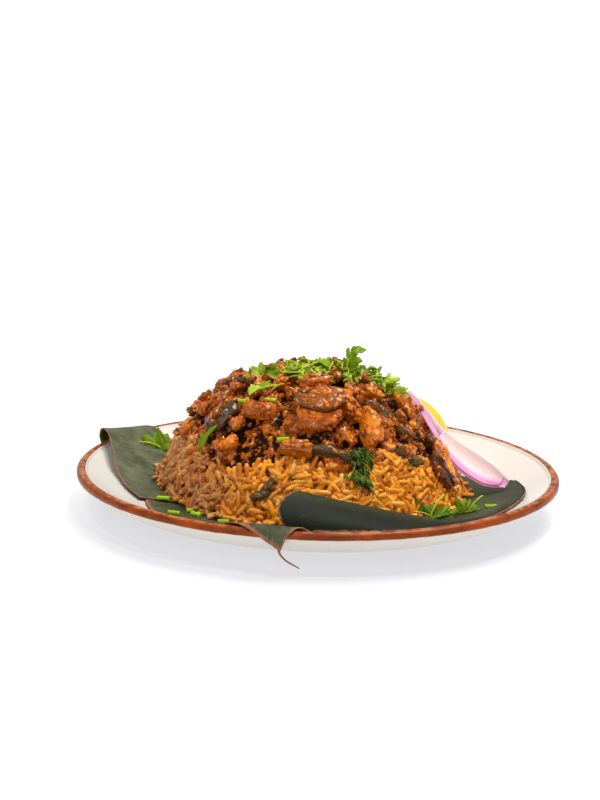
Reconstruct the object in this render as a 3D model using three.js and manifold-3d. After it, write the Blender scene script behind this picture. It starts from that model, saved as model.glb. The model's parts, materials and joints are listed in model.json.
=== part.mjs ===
// A plate of spiced rice under a chunky aubergine and mince curry, served on strips of banana
// leaf, with chopped coriander and chives, a petal of red onion and a wedge of lemon.
// Millimetres, +Z up, the table at z = 0. The front of the dish faces -Y.
// The dish is modelled about the plate's own axis and then centred on its footprint.
import * as THREE from "three";
import { mergeVertices } from "three/addons/utils/BufferGeometryUtils.js";
import Module from "manifold-3d";

const wasm = await Module();
wasm.setup();

// ---- Driving dimensions ---------------------------------------------------------------

const PLATE = {
  radius: 135, // dinner plate, 270 mm across
  height: 23,
  mouth: 129.2, // where the inner wall meets the lip
  floor: 6.2, // top of the flat middle
  flat: 72, // radius of the flat middle
  rise: 15, // of the inner wall, from the flat to the lip
  bend: 2.2, // power of the inner wall's curve
  footInner: 86.5,
  footOuter: 92.5,
  recess: 2.2,
  underStart: 90, // the outer wall's curve starts here
  underLow: 2.7,
  underEnd: 134.4,
  spokes: 40,
};

const HEAP = {
  x: -6,
  y: 4,
  radiusX: 88,
  radiusY: 84,
  low: 10, // height of the rice at the heap's edge
  tall: 65.5, // from there to the crown
  power: 3.35, // how square-shouldered the dome is
  spokes: 28,
};

const GAP = 0.35; // kept between any two pieces
const LEAF = { thick: 0.6, lower: 0.95, upper: 2.05 }; // heights of the two layers above the plate
const RICE = {
  lift: 3.8, // of the heap's underside above the plate
  inset: 1.8, // of the core inside the heap's outer surface
  lumps: 0.9,
  sauceDepth: 12,
  grainLong: 9.5,
  grainWide: 3.2,
  rows: 4,
  rowLong: 503, // round the heap
  step: 16.5,
  sunk: -1.5,
};
const CURRY = { edge: 0.857, sunk: 2.2, deep: 22, bigLumps: 25, smallLumps: 12 };
const CURL = { from: 0.84, angle: 115, radius: 5.6, tip: 0.2 }; // of the left strip, over the lip
const CHIVE = { radius: 1.35, long: 7 };
const HERB = { thick: 0.5 };
const LEMON = { halfLong: 27, radius: 24, angle: 74, core: 0.6 };
const ONION = { thick: 2.2 };

const COLOURS = {
  stoneware: 0xe9e4da,
  bananaLeaf: 0x3c4a35,
  rice: 0xd08a45,
  curry: 0x8f3a12,
  aubergine: 0x5b4427,
  aubergineSkin: 0x2c2a20,
  carrot: 0xb55416,
  onion: 0xe6b9cf,
  lemon: 0xf6cb52,
  coriander: 0x5f8a20,
};

// ---- Small helpers ----------------------------------------------------------------------

const { sin, cos, PI, hypot, max, min, exp, sqrt, floor: whole } = Math;
const GOLDEN_TURN = PI * (3 - sqrt(5));
const degrees = (a) => (a * PI) / 180;
const mix = (a, b, t) => a + (b - a) * t;
const clamp01 = (t) => min(1, max(0, t));
const vec = (x, y, z) => new THREE.Vector3(x, y, z);

function ease(from, to, x) {
  const t = clamp01((x - from) / (to - from));
  return t * t * (3 - 2 * t);
}

// The same draws on every run.
function dice(seed) {
  let s = seed >>> 0;
  return () => {
    s = (s + 0x6d2b79f5) >>> 0;
    let t = Math.imul(s ^ (s >>> 15), 1 | s);
    t = (t + Math.imul(t ^ (t >>> 7), 61 | t)) ^ t;
    return ((t ^ (t >>> 14)) >>> 0) / 4294967296;
  };
}

// Value at t of a list of numbers spaced evenly over 0 to 1, joined smoothly.
function along(values, t) {
  const curve = new THREE.SplineCurve(values.map((v, i) => new THREE.Vector2(i, v)));
  return curve.getPoint(clamp01(t)).y;
}

// ---- From geometry to solids and back -----------------------------------------------------

function solidFrom(geometry) {
  const bare = geometry.index ? geometry.toNonIndexed() : geometry.clone();
  for (const name of Object.keys(bare.attributes)) {
    if (name !== "position") bare.deleteAttribute(name);
  }
  const merged = mergeVertices(bare, 1e-4);
  const made = new wasm.Manifold(
    new wasm.Mesh({
      numProp: 3,
      vertProperties: merged.attributes.position.array,
      triVerts: new Uint32Array(merged.index.array),
    }),
  );
  return made;
}

// The largest body of a solid: scraps that a cut leaves are dropped.
function mainBody(solid) {
  const bodies = solid.decompose();
  bodies.sort((a, b) => b.volume() - a.volume());
  return bodies[0];
}

function meshOf(name, solid, colour, roughness) {
  const raw = mainBody(solid.simplify(0.03)).getMesh();
  const geometry = new THREE.BufferGeometry();
  geometry.setAttribute("position", new THREE.BufferAttribute(new Float32Array(raw.vertProperties), 3));
  geometry.setIndex(new THREE.BufferAttribute(new Uint32Array(raw.triVerts), 1));
  const material = new THREE.MeshStandardMaterial({ color: colour, roughness, metalness: 0 });
  const mesh = new THREE.Mesh(geometry, material);
  mesh.name = name;
  return mesh;
}

// A closed shell from two grids of points, upper and lower, joined round their edge.
function shell(upper, lower, columns, rows) {
  const places = [...upper, ...lower].flatMap((p) => [p.x, p.y, p.z]);
  const index = [];
  const at = (i, j, side) => side * (columns + 1) * (rows + 1) + i * (rows + 1) + j;
  for (let i = 0; i < columns; i++) {
    for (let j = 0; j < rows; j++) {
      const [a, b, c, d] = [at(i, j, 0), at(i + 1, j, 0), at(i + 1, j + 1, 0), at(i, j + 1, 0)];
      const [e, f, g, h] = [at(i, j, 1), at(i + 1, j, 1), at(i + 1, j + 1, 1), at(i, j + 1, 1)];
      index.push(a, b, c, a, c, d, e, g, f, e, h, g);
    }
  }
  const wall = (i0, j0, i1, j1) => {
    const [a, b, c, d] = [at(i0, j0, 0), at(i1, j1, 0), at(i0, j0, 1), at(i1, j1, 1)];
    index.push(a, c, d, a, d, b);
  };
  for (let i = 0; i < columns; i++) {
    wall(i, 0, i + 1, 0);
    wall(i + 1, rows, i, rows);
  }
  for (let j = 0; j < rows; j++) {
    wall(0, j + 1, 0, j);
    wall(columns, j, columns, j + 1);
  }
  const geometry = new THREE.BufferGeometry();
  geometry.setAttribute("position", new THREE.Float32BufferAttribute(places, 3));
  geometry.setIndex(index);
  const made = solidFrom(geometry);
  return made.volume() < 0 ? solidFrom(turnedOut(geometry)) : made;
}

function turnedOut(geometry) {
  const flipped = geometry.clone();
  const index = flipped.index.array;
  for (let i = 0; i < index.length; i += 3) [index[i + 1], index[i + 2]] = [index[i + 2], index[i + 1]];
  return flipped;
}

// Places from 0 to 1: each [end, count] pair splits its own part evenly.
function stations(...parts) {
  const list = [0];
  for (const [end, count] of parts) {
    const start = list[list.length - 1];
    for (let k = 1; k <= count; k++) list.push(mix(start, end, k / count));
  }
  return list;
}

// A thin sheet: point(u, v) is its middle surface, and both faces are split alike at the
// stations us and vs.
function sheet(point, us, vs, thick) {
  const nudge = 1e-3;
  const upper = [];
  const lower = [];
  for (const u of us) {
    for (const v of vs) {
      const p = point(u, v);
      const du = point(min(1, u + nudge), v).sub(point(max(0, u - nudge), v));
      const dv = point(u, min(1, v + nudge)).sub(point(u, max(0, v - nudge)));
      const n = du.cross(dv).normalize().multiplyScalar(thick / 2);
      upper.push(p.clone().add(n));
      lower.push(p.clone().sub(n));
    }
  }
  return shell(upper, lower, us.length - 1, vs.length - 1);
}

// A closed solid through rings of points, each with as many, its first and last rings filled in.
function ringSolid(rings) {
  const sides = rings[0].length;
  const index = [];
  for (let row = 0; row + 1 < rings.length; row++) {
    for (let k = 0; k < sides; k++) {
      const [a, b] = [row * sides + k, row * sides + ((k + 1) % sides)];
      index.push(a, a + sides, b + sides, a, b + sides, b);
    }
  }
  const last = (rings.length - 1) * sides;
  for (let k = 1; k + 1 < sides; k++) index.push(0, k, k + 1, last, last + k + 1, last + k);
  const geometry = new THREE.BufferGeometry();
  const places = rings.flat().flatMap((p) => [p.x, p.y, p.z]);
  geometry.setAttribute("position", new THREE.Float32BufferAttribute(places, 3));
  geometry.setIndex(index);
  const made = solidFrom(geometry);
  return made.volume() < 0 ? solidFrom(turnedOut(geometry)) : made;
}

// A closed rod along a curve, with flat ends: radius(t) is its half thickness.
function rod(line, steps, sides, radius) {
  const frames = line.computeFrenetFrames(steps);
  const rings = [];
  for (let i = 0; i <= steps; i++) {
    const middle = line.getPointAt(i / steps);
    const half = radius(i / steps);
    const spoke = (k) => {
      const a = (2 * PI * k) / sides;
      const p = middle.clone().addScaledVector(frames.normals[i], half * cos(a));
      return p.addScaledVector(frames.binormals[i], half * sin(a));
    };
    rings.push(Array.from({ length: sides }, (_, k) => spoke(k)));
  }
  return ringSolid(rings);
}

// A closed heap over an oval, between two skins. A skin is a height(turn, share) and a list of
// rings, each a share(turn) of the oval; both skins must end in the same ring.
function ovalHeap(top, topRings, bottom, bottomRings, spokes) {
  const places = [];
  const index = [];
  const put = (turn, share, height) => {
    const x = HEAP.x + HEAP.radiusX * share * cos(turn);
    const y = HEAP.y + HEAP.radiusY * share * sin(turn);
    places.push(x, y, height(turn, share));
    return places.length / 3 - 1;
  };
  const skin = (height, rings, up) => {
    const middle = put(0, 0, height);
    const rows = rings.map((ring) =>
      Array.from({ length: spokes }, (_, k) => {
        const turn = (2 * PI * k) / spokes;
        return put(turn, ring(turn), height);
      }),
    );
    const face = (a, b, c) => (up ? index.push(a, b, c) : index.push(a, c, b));
    for (let k = 0; k < spokes; k++) {
      const next = (k + 1) % spokes;
      face(middle, rows[0][k], rows[0][next]);
      for (let ring = 0; ring + 1 < rows.length; ring++) {
        const [inner, outer] = [rows[ring], rows[ring + 1]];
        face(inner[k], outer[k], outer[next]);
        face(inner[k], outer[next], inner[next]);
      }
    }
    return rows[rows.length - 1];
  };
  const rimAbove = skin(top, topRings, true);
  const rimBelow = skin(bottom, bottomRings, false);
  for (let k = 0; k < spokes; k++) {
    const next = (k + 1) % spokes;
    index.push(rimAbove[k], rimBelow[k], rimBelow[next], rimAbove[k], rimBelow[next], rimAbove[next]);
  }
  const geometry = new THREE.BufferGeometry();
  geometry.setAttribute("position", new THREE.Float32BufferAttribute(places, 3));
  geometry.setIndex(index);
  return solidFrom(geometry);
}

// ---- The plate ----------------------------------------------------------------------------

// Height of the plate's inner surface at a distance from its axis.
function plateTop(r) {
  const t = max(0, r - PLATE.flat) / (PLATE.mouth - PLATE.flat);
  return PLATE.floor + PLATE.rise * t ** PLATE.bend;
}

function plateUnder(r) {
  const t = max(0, r - PLATE.underStart) / (PLATE.underEnd - PLATE.underStart);
  return PLATE.underLow + PLATE.rise * t * t;
}

function plate() {
  const profile = [
    [0, PLATE.recess],
    [PLATE.footInner - 1.5, PLATE.recess],
    [PLATE.footInner, 0],
    [PLATE.footOuter, 0],
    [PLATE.footOuter + 1.5, plateUnder(PLATE.footOuter + 1.5)],
  ];
  for (let r = 104; r < PLATE.underEnd; r += 11) profile.push([r, plateUnder(r)]);
  const lip = PLATE.height;
  profile.push([PLATE.underEnd, lip - 4.9], [PLATE.radius, lip - 2.4], [PLATE.radius - 1, lip - 0.6]);
  profile.push([PLATE.radius - 3, lip], [PLATE.mouth, lip - 1.4]);
  for (let r = PLATE.mouth - 7; r > PLATE.flat; r -= 11) profile.push([r, plateTop(r)]);
  profile.push([PLATE.flat, PLATE.floor], [0, PLATE.floor]);
  const points = profile.map(([r, z]) => new THREE.Vector2(r, z));
  const made = new THREE.LatheGeometry(points, PLATE.spokes).rotateX(PI / 2);
  return solidFrom(made);
}

// ---- Banana leaf --------------------------------------------------------------------------

// Height of a sheet that lies on the plate, or over its lip further out.
function restOn(x, y, lift) {
  const r = hypot(x, y);
  const onPlate = plateTop(min(r, PLATE.mouth)) + lift;
  return mix(onPlate, max(onPlate, PLATE.height + 1.5), ease(PLATE.mouth - 8, PLATE.mouth, r));
}

// The left strip lies on the plate, climbs off it at the back left and curls over the lip.
// u runs from its front edge to the back one, v from its outer edge to the one under the rice.
function leftStrip(thick) {
  const outer = new THREE.CatmullRomCurve3([
    vec(-96, -43, 0), vec(-103, -30, 0), vec(-110, -14, 0), vec(-115, 0, 0),
    vec(-118.5, 14, 0), vec(-122.5, 28, 0), vec(-127.5, 42, 0),
  ]);
  const inner = new THREE.CatmullRomCurve3([
    vec(-58, -30, 0), vec(-56, -8, 0), vec(-57, 14, 0), vec(-58, 34, 0), vec(-62, 48, 0), vec(-66, 58, 0),
  ]);
  const away = vec(-0.6, 0.8, 0); // the way it curls
  const belly = vec(-5, 25, 0); // how far its back edge swells out
  const edgeLift = 6;
  const rippleDepth = 0.5;
  const point = (u, v) => {
    const t = min(1, u / CURL.from);
    const p = outer.getPoint(t).lerp(inner.getPoint(t), v);
    p.addScaledVector(belly, sin(PI * v) * t * t);
    const lifted = edgeLift * ease(0.34, 0.66, t) * (1 - v) ** 4;
    const ripple = rippleDepth * sin(9 * v + 4 * u) * ease(0.1, 0.4, t) * (1 - ease(0.75, 1, v));
    p.z = restOn(p.x, p.y, LEAF.upper) + lifted + max(0, ripple);
    if (u > CURL.from) {
      const bend = degrees(CURL.angle) * ((u - CURL.from) / (1 - CURL.from));
      const radius = mix(CURL.radius, CURL.tip, clamp01(2.2 * v));
      p.addScaledVector(away, radius * sin(bend));
      p.z += radius * (cos(bend) - 1);
    }
    return p;
  };
  return sheet(point, stations([CURL.from, 8], [1, 4]), stations([0.4, 4], [1, 3]), thick);
}

// A line from inside the plate, up its wall, over the lip and straight down outside it.
// reach is the distance from the plate's axis, and goes on past the lip as if laid flat.
function overLip(reach, lift) {
  const crest = PLATE.radius - 3;
  const wall = PLATE.mouth - 2.5;
  if (reach <= wall) return { r: reach, z: plateTop(reach) + lift };
  const top = PLATE.height + 1.6;
  if (reach <= crest) {
    const t = (reach - wall) / (crest - wall);
    return { r: reach, z: mix(plateTop(wall) + lift, top, sin((t * PI) / 2)) };
  }
  const past = reach - crest;
  const round = 4.6; // radius of the bend over the lip
  const slant = 0.12; // the hanging end stands this far off plumb
  const angle = min(past / round, PI / 2 - slant);
  const r = crest + round * sin(angle);
  const z = top + round * (cos(angle) - 1);
  const drop = max(0, past - angle * round);
  return { r: r + drop * slant, z: z - drop };
}

// How far the front strip reaches round the plate: the turn in degrees, and the distance
// from the plate's axis as if laid flat. Past the lip it hangs down, as a torn tail.
const TAIL_EDGE = [
  [207, 105], [212, 113], [218, 121.5], [226, 125], [236, 125.4], [246, 126], [252.6, 131.8],
  [256.6, 136.5], [260.6, 142.5], [263, 145.8], [263.9, 139.5], [266, 133], [269, 127],
];

// u runs round the plate from left to right, v from under the rice to the outer edge.
function tailStrip(thick) {
  const kneeShare = 0.5; // of v: from under the rice to just inside the lip
  const underRice = 66;
  const cockleDepth = 0.45;
  const steps = TAIL_EDGE.length - 1;
  const point = (u, v) => {
    const k = min(whole(u * steps), steps - 1);
    const t = u * steps - k;
    const turn = degrees(mix(TAIL_EDGE[k][0], TAIL_EDGE[k + 1][0], t));
    const outside = mix(TAIL_EDGE[k][1], TAIL_EDGE[k + 1][1], t);
    const knee = min(outside - 5, PLATE.mouth - 2);
    const past = (v - kneeShare) / (1 - kneeShare);
    const reach = past < 0 ? mix(underRice, knee, v / kneeShare) : mix(knee, outside, past);
    const { r, z } = overLip(reach, LEAF.lower);
    const cockle = cockleDepth * sin(9 * u + 2) * ease(0.45, 0.7, v) * (1 - ease(0.85, 1, v));
    return vec(r * cos(turn), r * sin(turn), z + max(0, cockle));
  };
  return sheet(point, stations([1, steps]), stations([kneeShare, 3], [1, 5]), thick);
}

// The dry fibre that trails from the tail's tip.
function tailFibre() {
  const thin = 0.65;
  const line = new THREE.CatmullRomCurve3([vec(-17.5, -135.4, 13), vec(-14.5, -135.2, 9.5), vec(-7.5, -134, 5)]);
  return rod(line, 3, 4, () => thin);
}

// The right strip: flat beside the heap, and rolled up into an arch in front of it.
// u runs along its ridge from the left end to the back right corner.
const RIDGE = new THREE.CatmullRomCurve3([
  vec(-10.5, -102, 36.5), vec(4, -99, 32.5), vec(22, -95, 28), vec(41, -91, 23.2), vec(53, -88.5, 20),
  vec(65, -87.5, 18), vec(77, -83, 17.2), vec(88, -74, 16.7), vec(97, -60, 16.3), vec(106, -44, 16.3),
  vec(111.5, -29, 16.2), vec(114, -15, 15.8), vec(112, -1, 15.2),
]);
const RIDGE_FOOT = new THREE.CatmullRomCurve3([
  vec(-14, -121, 19.7), vec(4, -121.5, 19.6), vec(24, -119, 19.4), vec(42, -115, 18.6), vec(56, -109, 17.8),
  vec(67, -101, 16.8), vec(79, -91, 16.2), vec(90.5, -77.5, 16.1), vec(99.5, -62, 16.1), vec(108.3, -45, 16.1),
  vec(113.7, -29.5, 16.1), vec(116.2, -14.5, 15.8), vec(113.7, 0.5, 15.1),
]);
const RIDGE_BACK = new THREE.CatmullRomCurve3([
  vec(-8, -58, 0), vec(4, -56, 0), vec(18, -54, 0), vec(30, -50, 0), vec(40, -46, 0),
  vec(48, -40, 0), vec(55, -32, 0), vec(60, -24, 0), vec(63, -15, 0), vec(65, -5, 0),
  vec(66, 4, 0), vec(67, 11, 0), vec(70, 19, 0),
]);

function heapShare(x, y) {
  return hypot((x - HEAP.x) / HEAP.radiusX, (y - HEAP.y) / HEAP.radiusY);
}

function rollStrip(thick) {
  const backShare = 0.66; // of v: from under the rice to the ridge
  const clearOfHeap = 1.035; // share of the heap's oval where the arch starts to rise
  const bulgeDepth = 6;
  const point = (u, v) => {
    const ridge = RIDGE.getPoint(u);
    if (v <= backShare) {
      const back = RIDGE_BACK.getPoint(u);
      const p = vec(mix(back.x, ridge.x, v / backShare), mix(back.y, ridge.y, v / backShare), 0);
      const here = heapShare(p.x, p.y);
      const climb = clamp01((here - clearOfHeap) / (heapShare(ridge.x, ridge.y) - clearOfHeap));
      const arch = mix(sin((climb * PI) / 2), climb ** 3, ease(0.3, 0.5, u)); // flat past the roll
      const low = restOn(p.x, p.y, LEAF.upper);
      p.z = max(low, mix(low, ridge.z, arch));
      return p;
    }
    const foot = RIDGE_FOOT.getPoint(u);
    const t = (v - backShare) / (1 - backShare);
    const out = sin((t * PI) / 2);
    const down = 1 - cos((t * PI) / 2);
    const bulge = bulgeDepth * sin(PI * t) * (1 - ease(0, 0.12, u));
    const p = vec(mix(ridge.x, foot.x, out) - bulge, mix(ridge.y, foot.y, out), mix(ridge.z, foot.z, down));
    p.z = max(p.z, restOn(p.x, p.y, LEAF.upper - 0.5));
    return p;
  };
  return sheet(point, stations([0.36, 6], [1, 11]), stations([0.4, 2], [backShare, 3], [1, 4]), thick);
}

// A cut length of chive lying on its side, turned by an angle about the vertical.
function chive(x, y, z, turn, long = CHIVE.long) {
  const made = new THREE.CylinderGeometry(CHIVE.radius, CHIVE.radius, long, 6);
  made.rotateZ(PI / 2).rotateZ(degrees(turn)).translate(x, y, z);
  return solidFrom(made);
}

function withChives(strip, list, lift) {
  const sunk = CHIVE.radius + LEAF.thick / 2 - 0.45;
  const bits = list.map(([x, y, turn]) => chive(x, y, restOn(x, y, lift) + sunk, turn));
  return wasm.Manifold.union([strip, ...bits]);
}

// ---- The heap of rice and the curry on it ---------------------------------------------------

const heapTop = (share) => HEAP.low + HEAP.tall * (1 - share ** HEAP.power);

// How far down the heap the curry comes: lobes reach out from its mean edge, in degrees.
const CURRY_LOBES = [
  { at: 205, out: -0.015, wide: 14 },
  { at: 222, out: 0.035, wide: 11 },
  { at: 255, out: -0.03, wide: 16 },
  { at: 287, out: 0.05, wide: 10 },
  { at: 308, out: -0.06, wide: 9 },
  { at: 337, out: 0.06, wide: 13 },
  { at: 40, out: 0.02, wide: 14 },
  { at: 85, out: -0.03, wide: 15 },
  { at: 120, out: 0.035, wide: 14 },
];

function curryEdge(turn) {
  const here = (((turn * 180) / PI) % 360 + 360) % 360;
  let edge = CURRY.edge;
  for (const lobe of CURRY_LOBES) {
    const off = (((here - lobe.at + 180) % 360) + 360) % 360 - 180;
    edge += lobe.out * exp(-((off / lobe.wide) ** 2));
  }
  return edge;
}

// Rice surface: just inside the full heap where it shows, and deeper under the curry.
function riceTop(turn, share) {
  const under = 1 - ease(curryEdge(turn) - 0.1, curryEdge(turn) + 0.015, share);
  const lumps = RICE.lumps * sin(5 * turn + 11 * share) * sin(9 * turn - 5 * share);
  return heapTop(share) - RICE.inset + lumps * share - RICE.sauceDepth * under;
}

const heapFloor = (turn, share) =>
  plateTop(hypot(HEAP.x + HEAP.radiusX * share * cos(turn), HEAP.y + HEAP.radiusY * share * sin(turn))) + RICE.lift;

// Rings under the curry follow its edge, and those past it fan out to the heap's own.
const underCurry = (part) => (turn) => part * curryEdge(turn);
const pastCurry = (part) => (turn) => mix(curryEdge(turn), 1, part);

function riceCore(grow) {
  const top = (turn, share) => riceTop(turn, share) + grow;
  const bottom = (turn, share) => heapFloor(turn, share) - 3 * grow;
  const topRings = [...[0.5, 0.78, 0.92, 1.02].map(underCurry), ...[0.4, 0.7, 1].map(pastCurry)];
  return ovalHeap(top, topRings, bottom, [0.8, 1].map((part) => () => part), HEAP.spokes);
}

// A place on the heap's outer surface, with the directions along, up and out of it there.
function heapSpot(x, y, lift = 0) {
  const share = heapShare(x, y);
  const steep = HEAP.tall * HEAP.power * share ** (HEAP.power - 2);
  const slopeX = (-steep * (x - HEAP.x)) / HEAP.radiusX ** 2;
  const slopeY = (-steep * (y - HEAP.y)) / HEAP.radiusY ** 2;
  const out = vec(-slopeX, -slopeY, 1).normalize();
  const level = vec(-(y - HEAP.y), x - HEAP.x, 0).normalize();
  const up = new THREE.Vector3().crossVectors(out, level);
  const place = vec(x, y, heapTop(share)).addScaledVector(out, lift);
  return { place, level, up, out };
}

// Stands a geometry modelled lying in XY on the heap at (x, y), turned by an angle about its normal.
function layOnHeap(geometry, x, y, turn, lift) {
  const { place, level, up, out } = heapSpot(x, y, lift);
  const turned = geometry.clone().rotateZ(degrees(turn));
  return turned.applyMatrix4(new THREE.Matrix4().makeBasis(level, up, out).setPosition(place));
}

// A cooked grain: a spindle with three sides, lying along X on one of them.
function grainShape(long, wide) {
  const waist = long * 0.3;
  const outline = [[0, -long / 2], [wide / 2, -waist], [wide / 2, waist], [0, long / 2]];
  const points = outline.map(([r, z]) => new THREE.Vector2(max(r, 0), z));
  return new THREE.LatheGeometry(points, 3).rotateZ(PI / 2);
}

// Grains in rows round the part of the heap that the curry leaves bare, where nothing is in their way.
function grains(inTheWay) {
  const draw = dice(11);
  const made = [];
  const count = whole(RICE.rowLong / RICE.step);
  for (let row = 0; row < RICE.rows; row++) {
    const down = (row + 0.5) / RICE.rows;
    for (let k = 0; k < count; k++) {
      const turn = (2 * PI * (k + 0.5 * (row % 2) + 0.5 * (draw() - 0.5))) / count;
      const share = mix(curryEdge(turn) + 0.02, 0.99, down) + 0.012 * (draw() - 0.5);
      const x = HEAP.x + HEAP.radiusX * share * cos(turn);
      const y = HEAP.y + HEAP.radiusY * share * sin(turn);
      const long = RICE.grainLong * mix(0.8, 1.2, draw());
      const wide = RICE.grainWide * mix(0.9, 1.1, draw());
      const lean = degrees(mix(-10, 14, draw()));
      const face = 180 * draw();
      const lay = (extra) => {
        const shape = grainShape(long + extra, wide + extra).rotateY(lean);
        return solidFrom(layOnHeap(shape, x, y, face, RICE.sunk));
      };
      if (inTheWay.every((other) => lay(2 * GAP).intersect(other).isEmpty())) made.push(lay(0));
    }
  }
  return made;
}

// An uneven lump: a coarse ball with the given half sizes, pushed in and out by a few waves.
function lumpShape(ball, seed, a, b, c, rough) {
  const shape = ball.clone();
  const place = shape.getAttribute("position");
  for (let i = 0; i < place.count; i++) {
    const p = vec(place.getX(i), place.getY(i), place.getZ(i));
    const wave = sin(2.7 * p.x + seed) * sin(3.1 * p.y + 1.7 * seed) + sin(3.7 * p.z + 2.3 * seed);
    p.multiplyScalar(1 + rough * wave * 0.6);
    place.setXYZ(i, p.x * a, p.y * b, p.z * c);
  }
  return shape;
}

// The lumps of mince and the crumbs between them, spread evenly over the curry in a sunflower spiral.
function curryLumps() {
  const draw = dice(5);
  const made = [];
  const { bigLumps: big, smallLumps: small } = CURRY;
  const bigBall = new THREE.SphereGeometry(1, 6, 4).rotateX(PI / 2);
  const smallBall = new THREE.IcosahedronGeometry(1, 0);
  for (let i = 0; i < big + small; i++) {
    const isBig = i < big;
    const share = isBig ? (i + 0.5) / big : (i - big + 0.5) / small;
    const turn = GOLDEN_TURN * i + (isBig ? 0 : 1.3);
    const r = (curryEdge(turn) - 0.035) * share ** 0.42;
    const x = HEAP.x + HEAP.radiusX * r * cos(turn);
    const y = HEAP.y + HEAP.radiusY * r * sin(turn);
    const size = isBig ? mix(4.6, 8, draw()) : mix(2.1, 3.4, draw());
    const long = size * mix(1, 1.4, draw());
    const shape = lumpShape(isBig ? bigBall : smallBall, i, long, size, size * 0.75, 0.2);
    made.push(solidFrom(layOnHeap(shape, x, y, 360 * draw(), isBig ? -2.4 : -1.1)));
  }
  return made;
}

function curryCap() {
  const rings = [0.3, 0.55, 0.75, 0.9, 1];
  const top = (turn, share) => {
    const waves = 1.2 * sin(4 * turn + 9 * share) + 0.9 * sin(7 * turn - 6 * share);
    return heapTop(share) - CURRY.sunk + waves * share * (1 - 0.6 * share);
  };
  const bottom = (turn, share) => heapTop(share) - CURRY.deep;
  return ovalHeap(top, rings.map(underCurry), bottom, [0.6, 1].map(underCurry), HEAP.spokes);
}

// ---- Pieces in the curry --------------------------------------------------------------------

// Where each piece that shows lies on the heap, its length, width and height, and its turn.
const PIECES = [
  { name: "aubergine_front", x: -0.6, y: -48, long: 26, wide: 22, tall: 15, turn: 10, kind: "aubergine" },
  { name: "aubergine_front_right", x: 26.6, y: -44, long: 18, wide: 14, tall: 11, turn: 60, kind: "aubergine" },
  { name: "aubergine_flap_left", x: -52.5, y: -32, long: 19, wide: 13, tall: 8, turn: 80, kind: "aubergine" },
  { name: "aubergine_low_right", x: 66, y: -20.5, long: 17, wide: 11, tall: 9, turn: -62, kind: "aubergine" },
  { name: "carrot_low", x: -11, y: -60, long: 20, wide: 9, tall: 9, turn: -4, kind: "carrot" },
  { name: "carrot_high", x: 8, y: -34.5, long: 22, wide: 10, tall: 8, turn: -20, kind: "carrot" },
  { name: "carrot_crown", x: -0.5, y: -24, long: 16, wide: 7, tall: 7, turn: 6, kind: "carrot" },
  { name: "carrot_left", x: -32, y: -42, long: 20, wide: 9.5, tall: 9, turn: 4, kind: "carrot" },
  { name: "skin_middle", x: 6.5, y: -60, long: 23, wide: 7, tall: 6, turn: -12, kind: "aubergineSkin" },
  { name: "skin_high_right", x: 32, y: -33, long: 17, wide: 6, tall: 5, turn: -40, kind: "aubergineSkin" },
  { name: "skin_low_right", x: 48.5, y: -41, long: 20, wide: 8, tall: 6, turn: -34, kind: "aubergineSkin" },
  { name: "skin_in_rice", x: -27.5, y: -70.5, long: 16, wide: 7, tall: 5, turn: 45, kind: "aubergineSkin" },
  { name: "aubergine_back_left", x: -46, y: 55, long: 24, wide: 18, tall: 12, turn: 30, kind: "aubergine" },
  { name: "aubergine_back", x: 6, y: 52, long: 25, wide: 19, tall: 13, turn: -15, kind: "aubergine" },
  { name: "carrot_back", x: -22, y: 55, long: 19, wide: 9, tall: 8, turn: 25, kind: "carrot" },
];

function pieceSolid(piece, order, grow) {
  const half = [piece.long, piece.wide, piece.tall].map((size) => size / 2 + grow);
  const ball = new THREE.SphereGeometry(1, 8, 5).rotateX(PI / 2);
  const shape = lumpShape(ball, order * 1.7 + 0.4, ...half, 0.1);
  return solidFrom(layOnHeap(shape, piece.x, piece.y, piece.turn, piece.tall * 0.12));
}

// ---- Garnish --------------------------------------------------------------------------------

// A coriander leaf in three lobes, curled along its midrib, of the given length, lying in XY.
function leafSolid(long, curl, grow, place, corners = 12) {
  const thick = HERB.thick + 2 * grow;
  const outline = [];
  for (let k = 0; k < corners; k++) {
    const a = (2 * PI * k) / corners;
    const lobes = 0.72 + 0.28 * cos(3 * a) + (k % 2 ? 0.1 : -0.06);
    const r = long * 0.5 * lobes + grow * 1.5;
    outline.push([r * cos(a) * 1.15, r * sin(a)]);
  }
  const rise = (x, y) => curl * ((x * x) / long) - 0.6 * curl * ((y * y) / long) + 0.5 * sin(x + y);
  const places = [];
  for (const side of [thick / 2, -thick / 2]) {
    places.push(0, 0, rise(0, 0) + side);
    for (const [x, y] of outline) places.push(x, y, rise(x, y) + side);
  }
  const index = [];
  const under = corners + 1;
  for (let k = 0; k < corners; k++) {
    const [a, b] = [1 + k, 1 + ((k + 1) % corners)];
    index.push(0, a, b, under, under + b, under + a);
    index.push(a, under + a, under + b, a, under + b, b);
  }
  const geometry = new THREE.BufferGeometry();
  geometry.setAttribute("position", new THREE.Float32BufferAttribute(places, 3));
  geometry.setIndex(index);
  return solidFrom(place(geometry));
}

// Single leaves and sprigs: on the heap (turn about its normal) or on the banana leaf.
const SINGLE_LEAVES = [
  { name: "coriander_high_left", x: -31, y: -29.5, long: 15, curl: -0.25, turn: 40, lift: 2.4 },
  { name: "coriander_low_left", x: -60, y: -37.5, long: 20, curl: -0.2, turn: 65, lift: 2.2 },
  { name: "coriander_low_front", x: 22, y: -61.5, long: 24, curl: -0.3, turn: 85, lift: 1.6 },
];
const GROUND_LEAVES = [
  { name: "coriander_beside_left", x: -96, y: 50, long: 20, curl: 0.3, turn: 20, tip: 12, lift: 8.6 },
  { name: "coriander_beside_right", x: 63, y: -62, long: 20, curl: 0.5, turn: 20, tip: 30, lift: 11 },
  { name: "coriander_beside_far_right", x: 79, y: -52, long: 16, curl: 0.6, turn: -15, tip: 22, lift: 8.4 },
];

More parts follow.
